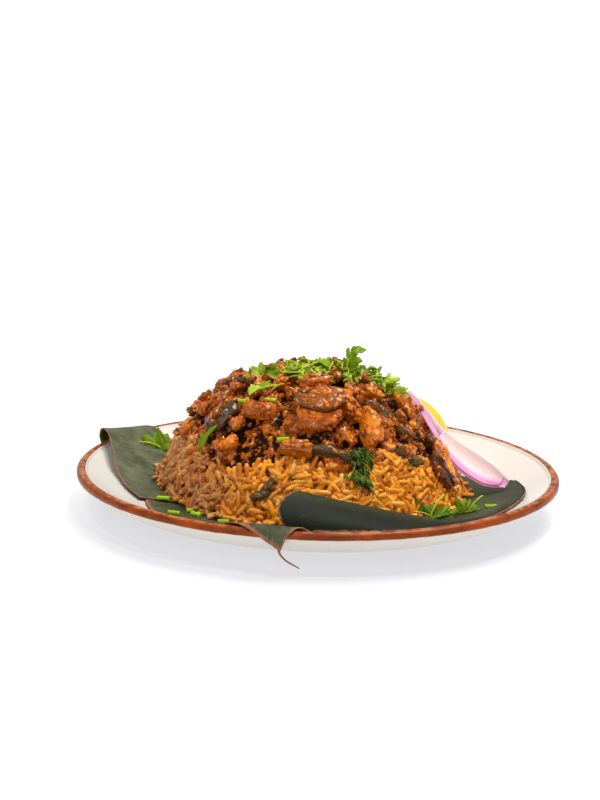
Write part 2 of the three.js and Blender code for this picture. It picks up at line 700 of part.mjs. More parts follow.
function heapLeaf(leaf, grow) {
  const place = (shape) => layOnHeap(shape, leaf.x, leaf.y, leaf.turn, leaf.lift);
  return leafSolid(leaf.long, leaf.curl, grow, place);
}

function groundLeaf(leaf, grow) {
  const z = restOn(leaf.x, leaf.y, LEAF.upper) + leaf.lift;
  const place = (shape) =>
    shape.rotateX(degrees(leaf.tip)).rotateZ(degrees(leaf.turn)).translate(leaf.x, leaf.y, z);
  return leafSolid(leaf.long, leaf.curl, grow, place);
}

// The heap of coriander on the crown: a thin ragged core with leaves fused on, drifting right.
const CROWN = { x: 9, y: 4, halfX: 41, halfY: 20, lift: 1.2, thick: 1.3, leaves: 10, long: 19 };

function crownCore() {
  const spokes = 15;
  const place = (k, share, lift) => {
    const a = (2 * PI * k) / spokes;
    const ragged = share * (0.74 + (k % 3 === 0 ? 0.12 : -0.06));
    return heapSpot(CROWN.x + CROWN.halfX * ragged * cos(a), CROWN.y + CROWN.halfY * ragged * sin(a), lift).place;
  };
  const rings = [[0, CROWN.thick], [1, CROWN.thick], [1, 0], [0, 0]].map(([share, lift]) =>
    Array.from({ length: spokes }, (_, k) => place(k, share * 0.98 + 0.02, CROWN.lift + lift)),
  );
  return ringSolid(rings);
}

function crownLeaves() {
  const draw = dice(23);
  const made = [];
  for (let i = 0; i < CROWN.leaves; i++) {
    const share = 0.18 + 0.66 * sqrt((i + 0.5) / CROWN.leaves);
    const x = CROWN.x + CROWN.halfX * share * cos(GOLDEN_TURN * i);
    const y = CROWN.y + CROWN.halfY * share * sin(GOLDEN_TURN * i);
    const long = CROWN.long * mix(0.75, 1.1, draw());
    const lean = degrees(mix(-6, 22, draw()));
    const curl = mix(0, 0.5, draw());
    const turn = 360 * draw();
    const place = (shape) => layOnHeap(shape.rotateY(lean), x, y, turn, CROWN.lift + CROWN.thick);
    made.push(leafSolid(long, curl, 0, place, 9));
  }
  // The one leaf that stands up above the rest.
  const upright = (shape) => shape.rotateX(degrees(84)).rotateY(degrees(-24)).translate(21, 1, 81.5);
  made.push(leafSolid(17, 0.4, 0, upright));
  return made;
}

// The curry is pressed down under the coriander: this is the space kept for it.
function crownRoom() {
  const spokes = 14;
  const place = (k, share, lift) => {
    const a = (2 * PI * k) / spokes;
    return heapSpot(CROWN.x + CROWN.halfX * share * cos(a), CROWN.y + CROWN.halfY * share * sin(a), lift).place;
  };
  const low = CROWN.lift - GAP;
  const rings = [[0.5, 25], [1.15, 25], [1.15, low], [0.6, low]].map(([share, lift]) =>
    Array.from({ length: spokes }, (_, k) => place(k, share, lift)),
  );
  return ringSolid(rings);
}

// A petal of red onion: a curved trough that leans on the heap, its foot on the banana leaf.
const ONION_LINE = new THREE.CatmullRomCurve3([
  vec(49.5, -4, 67), vec(58, -3, 56.5), vec(65.5, -2, 46), vec(74, -1, 35.5), vec(84.5, -4, 27.5),
  vec(95.5, -9, 21.7), vec(105.5, -14, 17.9),
]);
const ONION_WIDE = [2, 4.5, 6.5, 12, 15.5, 15, 8];

function onionPetal(grow) {
  const acrossWay = vec(0.1, 0.55, 0.83).normalize();
  const point = (u, v) => {
    const middle = ONION_LINE.getPoint(u);
    const ahead = ONION_LINE.getTangent(u);
    const across = acrossWay.clone().addScaledVector(ahead, -acrossWay.dot(ahead)).normalize();
    const face = new THREE.Vector3().crossVectors(ahead, across);
    const half = along(ONION_WIDE, u) / 2 + grow;
    const s = 2 * v - 1;
    const sag = half * 0.62 * (1 - s * s);
    return middle.addScaledVector(across, s * half).addScaledVector(face, -sag);
  };
  return sheet(point, stations([1, 11]), stations([1, 5]), ONION.thick + 2 * grow);
}

// A wedge of lemon, its rind out and its core edge towards the heap.
function lemonWedge(grow) {
  const spokes = 5;
  const rows = 9;
  const half = LEMON.halfLong + grow;
  const core = LEMON.core;
  const outer = [];
  const inner = [];
  for (let i = 0; i <= rows; i++) {
    const s = mix(-0.985, 0.985, i / rows);
    const girth = (LEMON.radius + grow) * (1 - s * s) ** 0.5 * (1 - 0.12 * s * s);
    for (let j = 0; j <= spokes; j++) {
      const a = degrees(LEMON.angle) * (j / spokes - 0.5);
      const spread = grow * (j / spokes - 0.5) * 2;
      outer.push(vec(s * half, girth * sin(a) + spread, girth * cos(a)));
      inner.push(vec(s * half, core * sin(a) + spread, core * cos(a) - grow));
    }
  }
  const wedge = shell(outer, inner, rows, spokes).getMesh();
  const geometry = new THREE.BufferGeometry();
  geometry.setAttribute("position", new THREE.Float32BufferAttribute(wedge.vertProperties, 3));
  geometry.setIndex(new THREE.BufferAttribute(new Uint32Array(wedge.triVerts), 1));
  const lengthwise = vec(0.69, 0.02, -0.725).normalize();
  const rindway = vec(0.66, 0.3, 0.69);
  rindway.addScaledVector(lengthwise, -rindway.dot(lengthwise)).normalize();
  const side = new THREE.Vector3().crossVectors(rindway, lengthwise);
  const frame = new THREE.Matrix4().makeBasis(lengthwise, side, rindway);
  frame.setPosition(vec(73, 46.2, 43.8).addScaledVector(rindway, -LEMON.radius));
  return solidFrom(geometry.applyMatrix4(frame));
}

// ---- Putting it together ----------------------------------------------------------------------

const LEFT_CHIVES = [[-87.5, -36, 8]];
const TAIL_CHIVES = [
  [-70.5, -55, 5], [-63.5, -62, -32], [-74.5, -69, -18], [-48.3, -74, 3], [-19.5, -86.5, -40],
];
const RIGHT_CHIVES = [[93, -47.5, 4]];
const CURRY_CHIVES = [[-37.5, -34.5, 10], [-25.5, -34, 60], [-26, -38.5, 2], [-18, -56.5, 8], [-9, -19, -8]];

function strips(grow) {
  const thick = LEAF.thick + 2 * grow;
  return {
    left: leftStrip(thick),
    tail: tailStrip(thick),
    roll: rollStrip(thick),
  };
}

function curryChives() {
  return CURRY_CHIVES.map(([x, y, turn]) => {
    const shape = new THREE.CylinderGeometry(CHIVE.radius, CHIVE.radius, CHIVE.long, 6).rotateZ(PI / 2);
    return solidFrom(layOnHeap(shape, x, y, turn, -1.2));
  });
}

const union = (list) => wasm.Manifold.union(list);
const leaf = strips(0);
const leafRoom = strips(GAP);
const onion = onionPetal(0);
const lemon = lemonWedge(0);
const crown = union([crownCore(), ...crownLeaves()]);
const singles = SINGLE_LEAVES.map((l) => heapLeaf(l, 0));
const grounded = GROUND_LEAVES.map((l) => groundLeaf(l, 0));
const garnishRoom = union([
  onionPetal(GAP), lemonWedge(GAP), crownRoom(), ...SINGLE_LEAVES.map((l) => heapLeaf(l, GAP)),
]);

// Each piece gives way to the garnish on it and to the pieces before it.
const pieceRoom = PIECES.map((piece, i) => pieceSolid(piece, i, GAP));
const pieces = PIECES.map((piece, i) => {
  return pieceSolid(piece, i, 0).subtract(union([garnishRoom, ...pieceRoom.slice(0, i)]));
});
const otherRoom = union([garnishRoom, ...pieceRoom]);
const curryWhole = union([curryCap(), ...curryLumps(), ...curryChives()]);
const curry = curryWhole.subtract(riceCore(1.4 * GAP)).subtract(otherRoom);
const loose = grains([curryWhole, otherRoom, leafRoom.left, leafRoom.tail, leafRoom.roll]);
const rice = union([riceCore(0).subtract(otherRoom), ...loose]);

const dish = new THREE.Group();
dish.add(meshOf("plate", plate(), COLOURS.stoneware, 0.25));
const leafMesh = (name, strip) => meshOf(name, strip, COLOURS.bananaLeaf, 0.5);
dish.add(leafMesh("banana_leaf_left", withChives(leaf.left, LEFT_CHIVES, LEAF.upper)));
dish.add(leafMesh("banana_leaf_tail", withChives(leaf.tail.add(tailFibre()), TAIL_CHIVES, LEAF.lower)));
dish.add(leafMesh("banana_leaf_roll", withChives(leaf.roll, RIGHT_CHIVES, LEAF.upper)));
dish.add(meshOf("rice", rice, COLOURS.rice, 0.45));
dish.add(meshOf("curry", curry, COLOURS.curry, 0.35));
PIECES.forEach((piece, i) => dish.add(meshOf(piece.name, pieces[i], COLOURS[piece.kind], 0.35)));
dish.add(meshOf("onion_petal", onion, COLOURS.onion, 0.3));
dish.add(meshOf("lemon_wedge", lemon, COLOURS.lemon, 0.4));
dish.add(meshOf("coriander_crown", crown, COLOURS.coriander, 0.5));
SINGLE_LEAVES.forEach((l, i) => dish.add(meshOf(l.name, singles[i], COLOURS.coriander, 0.5)));
GROUND_LEAVES.forEach((l, i) => dish.add(meshOf(l.name, grounded[i], COLOURS.coriander, 0.5)));

// Centre the footprint on the origin, with the foot ring on z = 0.
const box = new THREE.Box3().setFromObject(dish);
dish.position.set(-(box.min.x + box.max.x) / 2, -(box.min.y + box.max.y) / 2, -box.min.z);

export default dish;
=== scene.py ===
"""A plate of spiced rice under a chunky aubergine and mince curry, served on torn strips of
banana leaf, with coriander, chives, a petal of red onion and a wedge of lemon.
Sizes are millimetres from the middle of the plate's foot, with the table at z = 0."""

import json
import math

import bmesh
import bpy
import numpy as np
from mathutils import Matrix, Vector, bvhtree, kdtree, noise

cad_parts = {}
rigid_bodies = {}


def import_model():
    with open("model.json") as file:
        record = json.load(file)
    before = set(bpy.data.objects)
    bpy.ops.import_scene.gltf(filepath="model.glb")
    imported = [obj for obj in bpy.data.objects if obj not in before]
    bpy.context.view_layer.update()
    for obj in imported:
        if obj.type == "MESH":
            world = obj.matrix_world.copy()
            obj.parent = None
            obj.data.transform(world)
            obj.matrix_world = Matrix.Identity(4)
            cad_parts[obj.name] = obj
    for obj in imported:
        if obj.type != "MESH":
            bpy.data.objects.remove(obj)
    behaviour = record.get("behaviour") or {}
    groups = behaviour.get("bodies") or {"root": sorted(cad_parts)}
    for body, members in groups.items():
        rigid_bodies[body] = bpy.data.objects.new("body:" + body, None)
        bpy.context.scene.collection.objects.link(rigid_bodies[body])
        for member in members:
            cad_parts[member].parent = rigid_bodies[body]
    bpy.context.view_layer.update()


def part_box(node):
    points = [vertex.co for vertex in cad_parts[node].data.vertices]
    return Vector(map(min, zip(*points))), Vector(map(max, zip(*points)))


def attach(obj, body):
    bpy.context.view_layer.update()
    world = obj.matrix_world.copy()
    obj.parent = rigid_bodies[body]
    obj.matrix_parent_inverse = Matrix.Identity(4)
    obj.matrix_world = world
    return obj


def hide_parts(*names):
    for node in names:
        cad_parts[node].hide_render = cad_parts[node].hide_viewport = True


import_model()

MM = 0.001
plate_low, plate_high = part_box("plate")
MIDDLE = np.array([(plate_low.x + plate_high.x) / 2, (plate_low.y + plate_high.y) / 2, plate_low.z])

# The plate, the heap and the leaf, as the solids have them.
PLATE_RADIUS, PLATE_HEIGHT, MOUTH, FLOOR, FLAT = 135, 23, 129.2, 6.2, 72
WALL_RISE, WALL_BEND = 15, 2.2
UNDER_LOW, UNDER_START, UNDER_END = 2.7, 90, 134.4
HEAP_X, HEAP_Y, HEAP_WIDE, HEAP_DEEP = -6, 4, 88, 84
HEAP_LOW, HEAP_TALL, HEAP_POWER = 10, 65.5, 3.35
LEAF_THICK, LEAF_LOWER, LEAF_UPPER = 0.6, 0.95, 2.05

TAU = 2 * math.pi
ANY_TURN = (0, 6.28)
SPIRAL = 2.39996  # the turn from one thing to the next where they lie as a sunflower's seeds do


# ---- Numbers ------------------------------------------------------------------------------

def mix(a, b, share):
    return a + (b - a) * share


def ease(low, high, x):
    t = np.clip((x - low) / (high - low), 0, 1)
    return t * t * (3 - 2 * t)


def unit(v):
    return v / np.maximum(np.linalg.norm(v, axis=-1, keepdims=True), 1e-9)


def dice(seed):
    """The same draws as the solids' own dice."""
    state = seed

    def draw():
        nonlocal state
        state = (state + 0x6D2B79F5) & 0xFFFFFFFF
        t = ((state ^ (state >> 15)) * (1 | state)) & 0xFFFFFFFF
        t = ((t + (((t ^ (t >> 7)) * (61 | t)) & 0xFFFFFFFF)) & 0xFFFFFFFF) ^ t
        return ((t ^ (t >> 14)) & 0xFFFFFFFF) / 4294967296

    return draw


def line_through(points, share):
    """Points at shares 0 to 1 of a smooth line through the given ones."""
    p = np.asarray(points, float)
    p = np.vstack([2 * p[0] - p[1], p, 2 * p[-1] - p[-2]])
    place = np.clip(np.asarray(share, float), 0, 1) * (len(p) - 3)
    k = np.minimum(place.astype(int), len(p) - 4)
    w = (place - k)[..., None]
    a, b, c, d = (p[k + i] for i in range(4))
    gap = lambda m, n: np.sum((m - n) ** 2, -1, keepdims=True) ** 0.25
    d0, d1, d2 = gap(a, b), gap(b, c), gap(c, d)
    t1 = ((b - a) / d0 - (c - a) / (d0 + d1) + (c - b) / d1) * d1
    t2 = ((c - b) / d1 - (d - b) / (d1 + d2) + (d - c) / d2) * d1
    return b + t1 * w + (-3 * b + 3 * c - 2 * t1 - t2) * w**2 + (2 * b - 2 * c + t1 + t2) * w**3


def roughness_at(points, size, seed=0, depth=3):
    """A cloudy number, about -1 to 1, at each point, with features of the given size."""
    shift = Vector((seed * 7.31, seed * 3.17, seed * 5.53))
    return np.array([noise.fractal(Vector(p) / size + shift, 1.0, 2.0, depth) for p in points])


# ---- Meshes -------------------------------------------------------------------------------

def dress(mesh, uv, marks):
    """Marks and UVs for a mesh, both given on its points."""
    for label, values in marks.items():
        values = np.asarray(values, float)
        kind, entry = ("FLOAT", "value") if values.ndim == 1 else ("FLOAT_VECTOR", "vector")
        mesh.attributes.new(label, kind, "POINT").data.foreach_set(entry, values.ravel())
    if uv is not None:
        corner = np.empty(len(mesh.loops), int)
        mesh.loops.foreach_get("vertex_index", corner)
        mesh.uv_layers.new(name="UVMap").data.foreach_set("uv", np.asarray(uv, float)[corner].ravel())
    mesh.shade_smooth()


def mesh_of(name, points, faces, finish=None, uv=None, marks=None):
    """A mesh from millimetres about the plate's middle, with marks on its points."""
    mesh = bpy.data.meshes.new(name)
    mesh.from_pydata((np.asarray(points) * MM + MIDDLE).tolist(), [], faces)
    dress(mesh, uv, marks or {})
    if finish:
        mesh.materials.append(finish)
    return mesh


def object_of(mesh):
    made = bpy.data.objects.new(mesh.name, mesh)
    bpy.context.scene.collection.objects.link(made)
    return made


def turned_out(mesh):
    """Doubles merged and faces turned outwards."""
    work = bmesh.new()
    work.from_mesh(mesh)
    bmesh.ops.remove_doubles(work, verts=work.verts, dist=1e-6)
    bmesh.ops.recalc_face_normals(work, faces=work.faces)
    work.to_mesh(mesh)
    work.free()
    return mesh


def piece(mesh, slot, *nodes):
    """A finished piece: it rides on the dish and stands for its solids."""
    made = object_of(mesh)
    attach(made, "root")
    if nodes:
        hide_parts(*nodes)


def sheet(rows, columns, first=(0, 1), second=(0, 1)):
    """Two grids of numbers: one runs down the rows and the other along the columns."""
    return np.meshgrid(np.linspace(*first, rows), np.linspace(*second, columns), indexing="ij")

def grid(rows, columns, start=0, wrap=False):
    """Faces of a sheet of points, closed round its columns if it wraps."""
    at = np.arange(rows * columns).reshape(rows, columns) + start
    if wrap:
        at = np.hstack([at, at[:, :1]])
    return np.stack([at[:-1, :-1], at[1:, :-1], at[1:, 1:], at[:-1, 1:]], -1).reshape(-1, 4).tolist()


def thin_solid(middle, thick):
    """A closed sheet about a grid of points, a little thinner towards its edges."""
    rows, columns = middle.shape[:2]
    along, across = np.gradient(middle, axis=0), np.gradient(middle, axis=1)
    normal = unit(np.cross(along, across))
    i, j = np.meshgrid(np.arange(rows), np.arange(columns), indexing="ij")
    rim = np.minimum(np.minimum(i, rows - 1 - i), np.minimum(j, columns - 1 - j))
    half = (np.asarray(thick) / 2 * mix(0.55, 1, np.clip(rim / 2, 0, 1)))[..., None]
    points = np.vstack([(middle + normal * half).reshape(-1, 3), (middle - normal * half).reshape(-1, 3)])
    size = rows * columns
    faces = grid(rows, columns) + [f[::-1] for f in grid(rows, columns, size)]
    at = np.arange(size).reshape(rows, columns)
    border = [*at[0, :-1], *at[:-1, -1], *at[-1, :0:-1], *at[:0:-1, 0]]
    for a, b in zip(border, border[1:] + border[:1]):
        faces.append([int(a), int(b), int(b) + size, int(a) + size])
    return points, faces


def closed_rings(rings, sides):
    """Faces round rings of points, with a fan to a tip at each end; the two tips come last."""
    faces = grid(rings, sides, wrap=True)
    last, tip = (rings - 1) * sides, rings * sides
    for k in range(sides):
        after = (k + 1) % sides
        faces += [[k, after, tip], [last + after, last + k, tip + 1]]
    return faces


def tube(line, radius, sides, hollow=0.0):
    """A closed tube along points, with rounded ends; hollow is the depth of a dimple in each end."""
    line = np.asarray(line, float)
    along = unit(np.gradient(line, axis=0))
    aside = unit(np.cross(along, [0.13, 0.21, 0.97]))
    above = np.cross(along, aside)
    radius = np.broadcast_to(np.asarray(radius, float), (len(line),))
    turn = np.linspace(0, TAU, sides, endpoint=False)
    ring = lambda k, share: line[k] + radius[k] * share * (
        np.cos(turn)[:, None] * aside[k] + np.sin(turn)[:, None] * above[k])
    rings = [ring(0, 0.8), *(ring(k, 1) for k in range(len(line))), ring(-1, 0.8)]
    rings[1] = rings[1] + 0.15 * radius[0] * along[0]
    rings[-2] = rings[-2] - 0.15 * radius[-1] * along[-1]
    points = np.vstack([*rings, [line[0] + hollow * along[0], line[-1] - hollow * along[-1]]])
    share = np.repeat(np.linspace(0, 1, len(rings)), sides)
    uv = np.stack([np.append(share, [0, 1]), np.append(np.tile(turn / 6.3, len(rings)), [0, 0])], -1)
    return points, closed_rings(len(rings), sides), uv


class Lot:
    """Many small closed shapes gathered into one mesh."""

    def __init__(self):
        self.points, self.faces, self.uv, self.marks, self.count = [], [], [], {}, 0

    def add(self, points, faces, uv=None, **marks):
        self.faces += [[v + self.count for v in f] for f in faces]
        self.points.append(points)
        self.uv.append(np.zeros((len(points), 2)) if uv is None else uv)
        for label, value in marks.items():
            self.marks.setdefault(label, []).append(np.broadcast_to(value, (len(points),)))
        self.count += len(points)

    def skin(self):
        return np.vstack(self.points), self.faces

    def mesh(self, name, finish=None):
        marks = {label: np.concatenate(parts) for label, parts in self.marks.items()}
        return mesh_of(name, *self.skin(), finish, np.vstack(self.uv), marks)


def target(skins):
    """Skins gathered into a tree that a ray can be cast at."""
    lot = Lot()
    for points, faces in skins:
        lot.add(points, faces)
    points, faces = lot.skin()
    return bvhtree.BVHTree.FromPolygons(points.tolist(), faces)


# ---- Node graphs --------------------------------------------------------------------------

class Wire:
    """A node's output that can stand in a sum, so that its maths reads as plain maths."""

    def __init__(self, graph, socket):
        self.graph, self.socket = graph, socket

    def maths(self, operation, *others):
        return self.graph.maths(operation, self, *others)

    def __add__(self, other):
        return self.maths("ADD", other)

    def __sub__(self, other):
        return self.maths("SUBTRACT", other)

    def __rsub__(self, other):
        return self.graph.maths("SUBTRACT", other, self)

    def __mul__(self, other):
        return self.maths("MULTIPLY", other)

    def __rtruediv__(self, other):
        return self.graph.maths("DIVIDE", other, self)

    __radd__, __rmul__ = __add__, __mul__


class Graph:
    """Makes nodes: their type, then their settings, then what their sockets hold."""

    def __init__(self, tree):
        self.tree = tree
        tree.nodes.clear()

    def node(self, kind, settings=None, inputs=None, out=0):
        made = self.tree.nodes.new(kind)
        for key, value in (settings or {}).items():
            setattr(made, key, value)
        for key, value in (inputs or {}).items():
            if isinstance(value, Wire):
                self.tree.links.new(value.socket, made.inputs[key])
            else:
                made.inputs[key].default_value = value
        return Wire(self, made.outputs[out]) if made.outputs else None

    def maths(self, operation, *values):
        return self.node("ShaderNodeMath", {"operation": operation}, dict(enumerate(values)))

    def vector(self, operation, *values, out=0):
        return self.node("ShaderNodeVectorMath", {"operation": operation}, dict(enumerate(values)), out)

    def scaled(self, vector, by):
        return self.node("ShaderNodeVectorMath", {"operation": "SCALE"}, {0: vector, "Scale": by})

    def axis(self, vector, label):
        return self.node("ShaderNodeSeparateXYZ", {}, {0: vector}, label)

    def step(self, low, high, wire, first=0.0, last=1.0):
        """A smooth step from first to last, where the wire runs from low to high."""
        return self.node("ShaderNodeMapRange", {"interpolation_type": "SMOOTHSTEP"}, {
            "Value": wire, "From Min": low, "From Max": high, "To Min": first, "To Max": last})


def paint(*screen):
    """A colour as read off a screen, 0 to 255, as the shader wants it."""
    return (*((v / 255 / 12.92) if v <= 10 else ((v / 255 + 0.055) / 1.055) ** 2.4 for v in screen), 1.0)


class Finish(Graph):
    """A material under construction; its colours are given as read off a screen."""

    def __init__(self, name):
        self.material = bpy.data.materials.new(name)
        self.material.use_nodes = True
        super().__init__(self.material.node_tree)

    def spot(self):
        return self.node("ShaderNodeTexCoord", out="Object")

    def uv(self, stretch=(1, 1, 1)):
        flat = self.node("ShaderNodeUVMap", {"uv_map": "UVMap"})
        return self.node("ShaderNodeMapping", {}, {"Vector": flat, "Scale": stretch})

    def mark(self, label):
        return self.node("ShaderNodeAttribute", {"attribute_name": label}, out="Fac")

    def cloud(self, size, where=None, detail=3.0, rough=0.55, warp=0.0):
        """Cloudy noise; size is in millimetres where it reads the object's own coordinates."""
        return self.node("ShaderNodeTexNoise", {}, {
            "Vector": where or self.spot(), "Scale": 1 / size if where else 1 / (size * MM), "Detail": detail,
            "Roughness": rough, "Distortion": warp}, "Fac")

    def streaks(self, along, across, detail=3.0, rough=0.55):
        """Noise over the UVs, finer one way than the other."""
        return self.cloud(1.0, self.uv((along, across, 1)), detail, rough)

    def cells(self, size, where=None):
        """The distance to the nearest of many points, as a share of their spacing."""
        return self.node("ShaderNodeTexVoronoi", {}, {
            "Vector": where or self.spot(), "Scale": 1 / size if where else 1 / (size * MM)}, "Distance")

    def patches(self, low, high, size, **kind):
        """Cloudy patches, which begin where the noise is low and are full where it is high."""
        return self.step(low, high, self.cloud(size, **kind))

    def dots(self, low, high, size, where=None):
        """Dots at the middles of cells, full within low and gone past high."""
        return 1 - self.step(low, high, self.cells(size, where))

    def crumbs(self, size):
        """Height of crumbs of a size: 1 on their tops, 0 in the creases between them."""
        push = self.node("ShaderNodeTexNoise", {}, {
            "Vector": self.spot(), "Scale": 0.5 / (size * MM), "Detail": 3.0}, "Color")
        where = self.vector("ADD", self.spot(), self.scaled(push, 2.4 * size * MM))
        return self.step(0.75, 0.1, self.cells(size * MM, where))

    def blend(self, first, second, share):
        first, second = (paint(*c) if isinstance(c, tuple) else c for c in (first, second))
        return self.node("ShaderNodeMix", {"data_type": "RGBA"}, {0: share, 6: first, 7: second}, 2)

    def layers(self, colour, *coats):
        """A colour under coats, each a colour and its share."""
        for coat, share in coats:
            colour = self.blend(colour, coat, share)
        return colour

    def ramp(self, share, first, *others):
        """The colour at a share, from stops that are each a place and a colour."""
        made = self.tree.nodes.new("ShaderNodeValToRGB")
        self.tree.links.new(share.socket, made.inputs[0])
        stops = made.color_ramp.elements
        for place, colour in others[:-1]:
            stops.new(place).color = paint(*colour)
        for stop, (place, colour) in ((stops[0], first), (stops[-1], others[-1])):
            stop.position, stop.color = place, paint(*colour)
        return Wire(self, made.outputs[0])

    def relief(self, height, depth):
        """A bump as deep as depth millimetres where the height runs from 0 to 1."""
        return self.node("ShaderNodeBump", {}, {"Height": height, "Distance": depth * MM, "Strength": 1.0})

    def done(self, colour, roughness, normal=None, **others):
        shader = {"Base Color": colour, "Roughness": roughness}
        if normal:
            shader["Normal"] = normal
        for label, value in others.items():
            shader[label.replace("_", " ").title().replace("Ior", "IOR")] = value
        made = self.node("ShaderNodeBsdfPrincipled", {}, shader)
        self.node("ShaderNodeOutputMaterial", {}, {"Surface": made})
        return self.material


class Rule(Graph):
    """A Geometry Nodes tree with named sizes."""

    KINDS = {int: "NodeSocketInt", float: "NodeSocketFloat", tuple: "NodeSocketVector",
             bpy.types.Material: "NodeSocketMaterial", bpy.types.Collection: "NodeSocketCollection"}

    def __init__(self, name, sizes):
        super().__init__(bpy.data.node_groups.new(name, "GeometryNodeTree"))
        self.sizes, self.ids = sizes, {}
        add = self.tree.interface.new_socket
        add("Geometry", in_out="INPUT", socket_type="NodeSocketGeometry")
        for label, value in sizes.items():
            self.ids[label] = add(label, in_out="INPUT", socket_type=self.KINDS[type(value)]).identifier
        add("Geometry", in_out="OUTPUT", socket_type="NodeSocketGeometry")
        self.given = self.tree.nodes.new("NodeGroupInput")

    def size(self, label):
        return Wire(self, self.given.outputs[label])

    def field(self, label, kind="FLOAT"):
        return self.node("GeometryNodeInputNamedAttribute", {"data_type": kind}, {"Name": label})

    def ends_in(self, geometry, finish):
        real = self.node("GeometryNodeRealizeInstances", {}, {"Geometry": geometry})
        coated = self.node("GeometryNodeSetMaterial", {}, {"Geometry": real, "Material": self.size(finish)})
        self.node("NodeGroupOutput", {}, {0: coated})

    def grow(self, seed, name):
        """The plain mesh that the tree makes of a seed mesh."""
        holder = object_of(seed)
        modifier = holder.modifiers.new("rule", "NODES")
        modifier.node_group = self.tree
        for label, value in self.sizes.items():
            modifier[self.ids[label]] = value
        made = evaluated(holder, preserve_all_data_layers=True)
        made.name = name
        return made


def evaluated(holder, **kept):
    """The mesh that an object's modifier makes; the object goes."""
    view = bpy.context.evaluated_depsgraph_get()
    made = bpy.data.meshes.new_from_object(holder.evaluated_get(view), depsgraph=view, **kept)
    holder.modifiers.clear()
    bpy.data.objects.remove(holder)
    return made


# ---- Finishes -----------------------------------------------------------------------------

def glazed_stoneware():
    """Speckled cream glaze, with a bare band of iron-red slip round the lip, and a painted highlight along the top
    of the lip.
    """
    f = Finish("glazed_stoneware")
    spot = f.vector("SUBTRACT", f.spot(), tuple(MIDDLE))
    reach = f.vector("LENGTH", f.vector("MULTIPLY", spot, (1, 1, 0)), out="Value") * 1000
    height = f.axis(spot, "Z") * 1000
    wander = (f.cloud(9, detail=4.0) - 0.5) * 0.7
    band = f.step(130.0, 130.4, reach + wander) * f.step(19.1, 19.7, height + wander)
    speck = f.dots(0.07, 0.14, 5.5) * f.patches(0.62, 0.7, 7, detail=1.0) * 0.75
    glaze = f.layers((228, 222, 212), ((214, 208, 196), f.cloud(34, detail=4.0)), ((120, 104, 84), speck))
    slip = f.layers(
        (112, 42, 4), ((162, 72, 12), f.patches(0.3, 0.75, 16, detail=5.0, rough=0.6)),
        ((84, 32, 4), f.patches(0.56, 0.8, 2.6) * 0.4),
        # Painted highlight: paler slip along the top of the lip, where the light catches it.
        ((226, 168, 120), f.step(22.3, 22.9, height) * f.patches(0.4, 0.6, 6) * 0.35))
    wheel = f.cloud(0.9, f.node("ShaderNodeCombineXYZ", {}, {0: reach, 1: height, 2: 0.0}), detail=2.0)
    marks = f.cloud(26, detail=2.0) * 0.6 + wheel * 0.12 * (1 - band) + f.cloud(1.2) * 0.10 * band
    return f.done(f.blend(glaze, slip, band), 0.16 + band * 0.16 + f.cloud(14) * 0.08, f.relief(marks, 0.35),
                  specular_ior_level=0.16)


def banana_leaf():
    """Dark waxy leaf: close parallel veins, a pale bloom that is partly dust and partly painted sheen, painted
    shade on the rolled strip's front face, and edges dried to brown.
    """
    f = Finish("banana_leaf")
    deep, dusty = f.mark("deep"), f.mark("dusty")
    fine, broad = f.streaks(9.0, 0.35, rough=0.6), f.streaks(1.6, 0.22, detail=2.0)
    bloom = f.cloud(14, detail=5.0, rough=0.65)
    flecks = f.patches(0.6, 0.72, 1.5, detail=4.0, rough=0.75) * f.patches(0.42, 0.6, 18)
    above = f.layers(
        (34, 41, 24), ((64, 72, 41), f.step(0.24, 0.8, bloom * 0.75 + broad * 0.25)),
        ((100, 106, 74), f.step(0.56, 0.8, fine) * 0.16), ((20, 26, 15), f.step(0.5, 0.24, fine) * 0.22),
        # Pale bloom, partly dust and partly painted sheen: the strips that catch the light get more of it.
        ((118, 119, 91), dusty * f.step(0.2, 0.8, bloom * 0.8 + fine * 0.15 + broad * 0.05)),
        # Painted shade: the last coat darkens the rolled strip's front face to near black.
        ((178, 176, 150), flecks * (dusty * 0.6 + 0.1)), ((14, 17, 8), deep * 0.85))
    dust = f.dots(0.10, 0.2, 3.1) * f.patches(0.6, 0.72, 16, detail=2.0)
    dried = 1 - f.step(0.3, 1.5, f.mark("edge") + (f.cloud(2.4, detail=4.0) - 0.5) * 2.6)
    rim = f.blend((94, 58, 38), (178, 122, 92), f.cloud(3.5, detail=4.0))
    colour = f.layers(
        (52, 66, 18), ((92, 112, 30), broad), (above, f.mark("face")), ((150, 152, 128), dust * 0.4),
        ((74, 58, 38), f.patches(0.62, 0.76, 8, detail=4.0, rough=0.6) * 0.35), (rim, dried))
    ribs = f.node("ShaderNodeTexWave", {}, {
        "Vector": f.uv(), "Scale": 0.62, "Distortion": 0.7, "Detail": 2.0, "Detail Scale": 0.5})
    height = ribs * 0.3 + fine * 0.4 + f.cloud(0.9, detail=2.0) * 0.3
    return f.done(colour, 0.36 + 0.22 * bloom + 0.12 * dried + 0.15 * deep, f.relief(height, 0.2),
                  specular_ior_level=0.13)


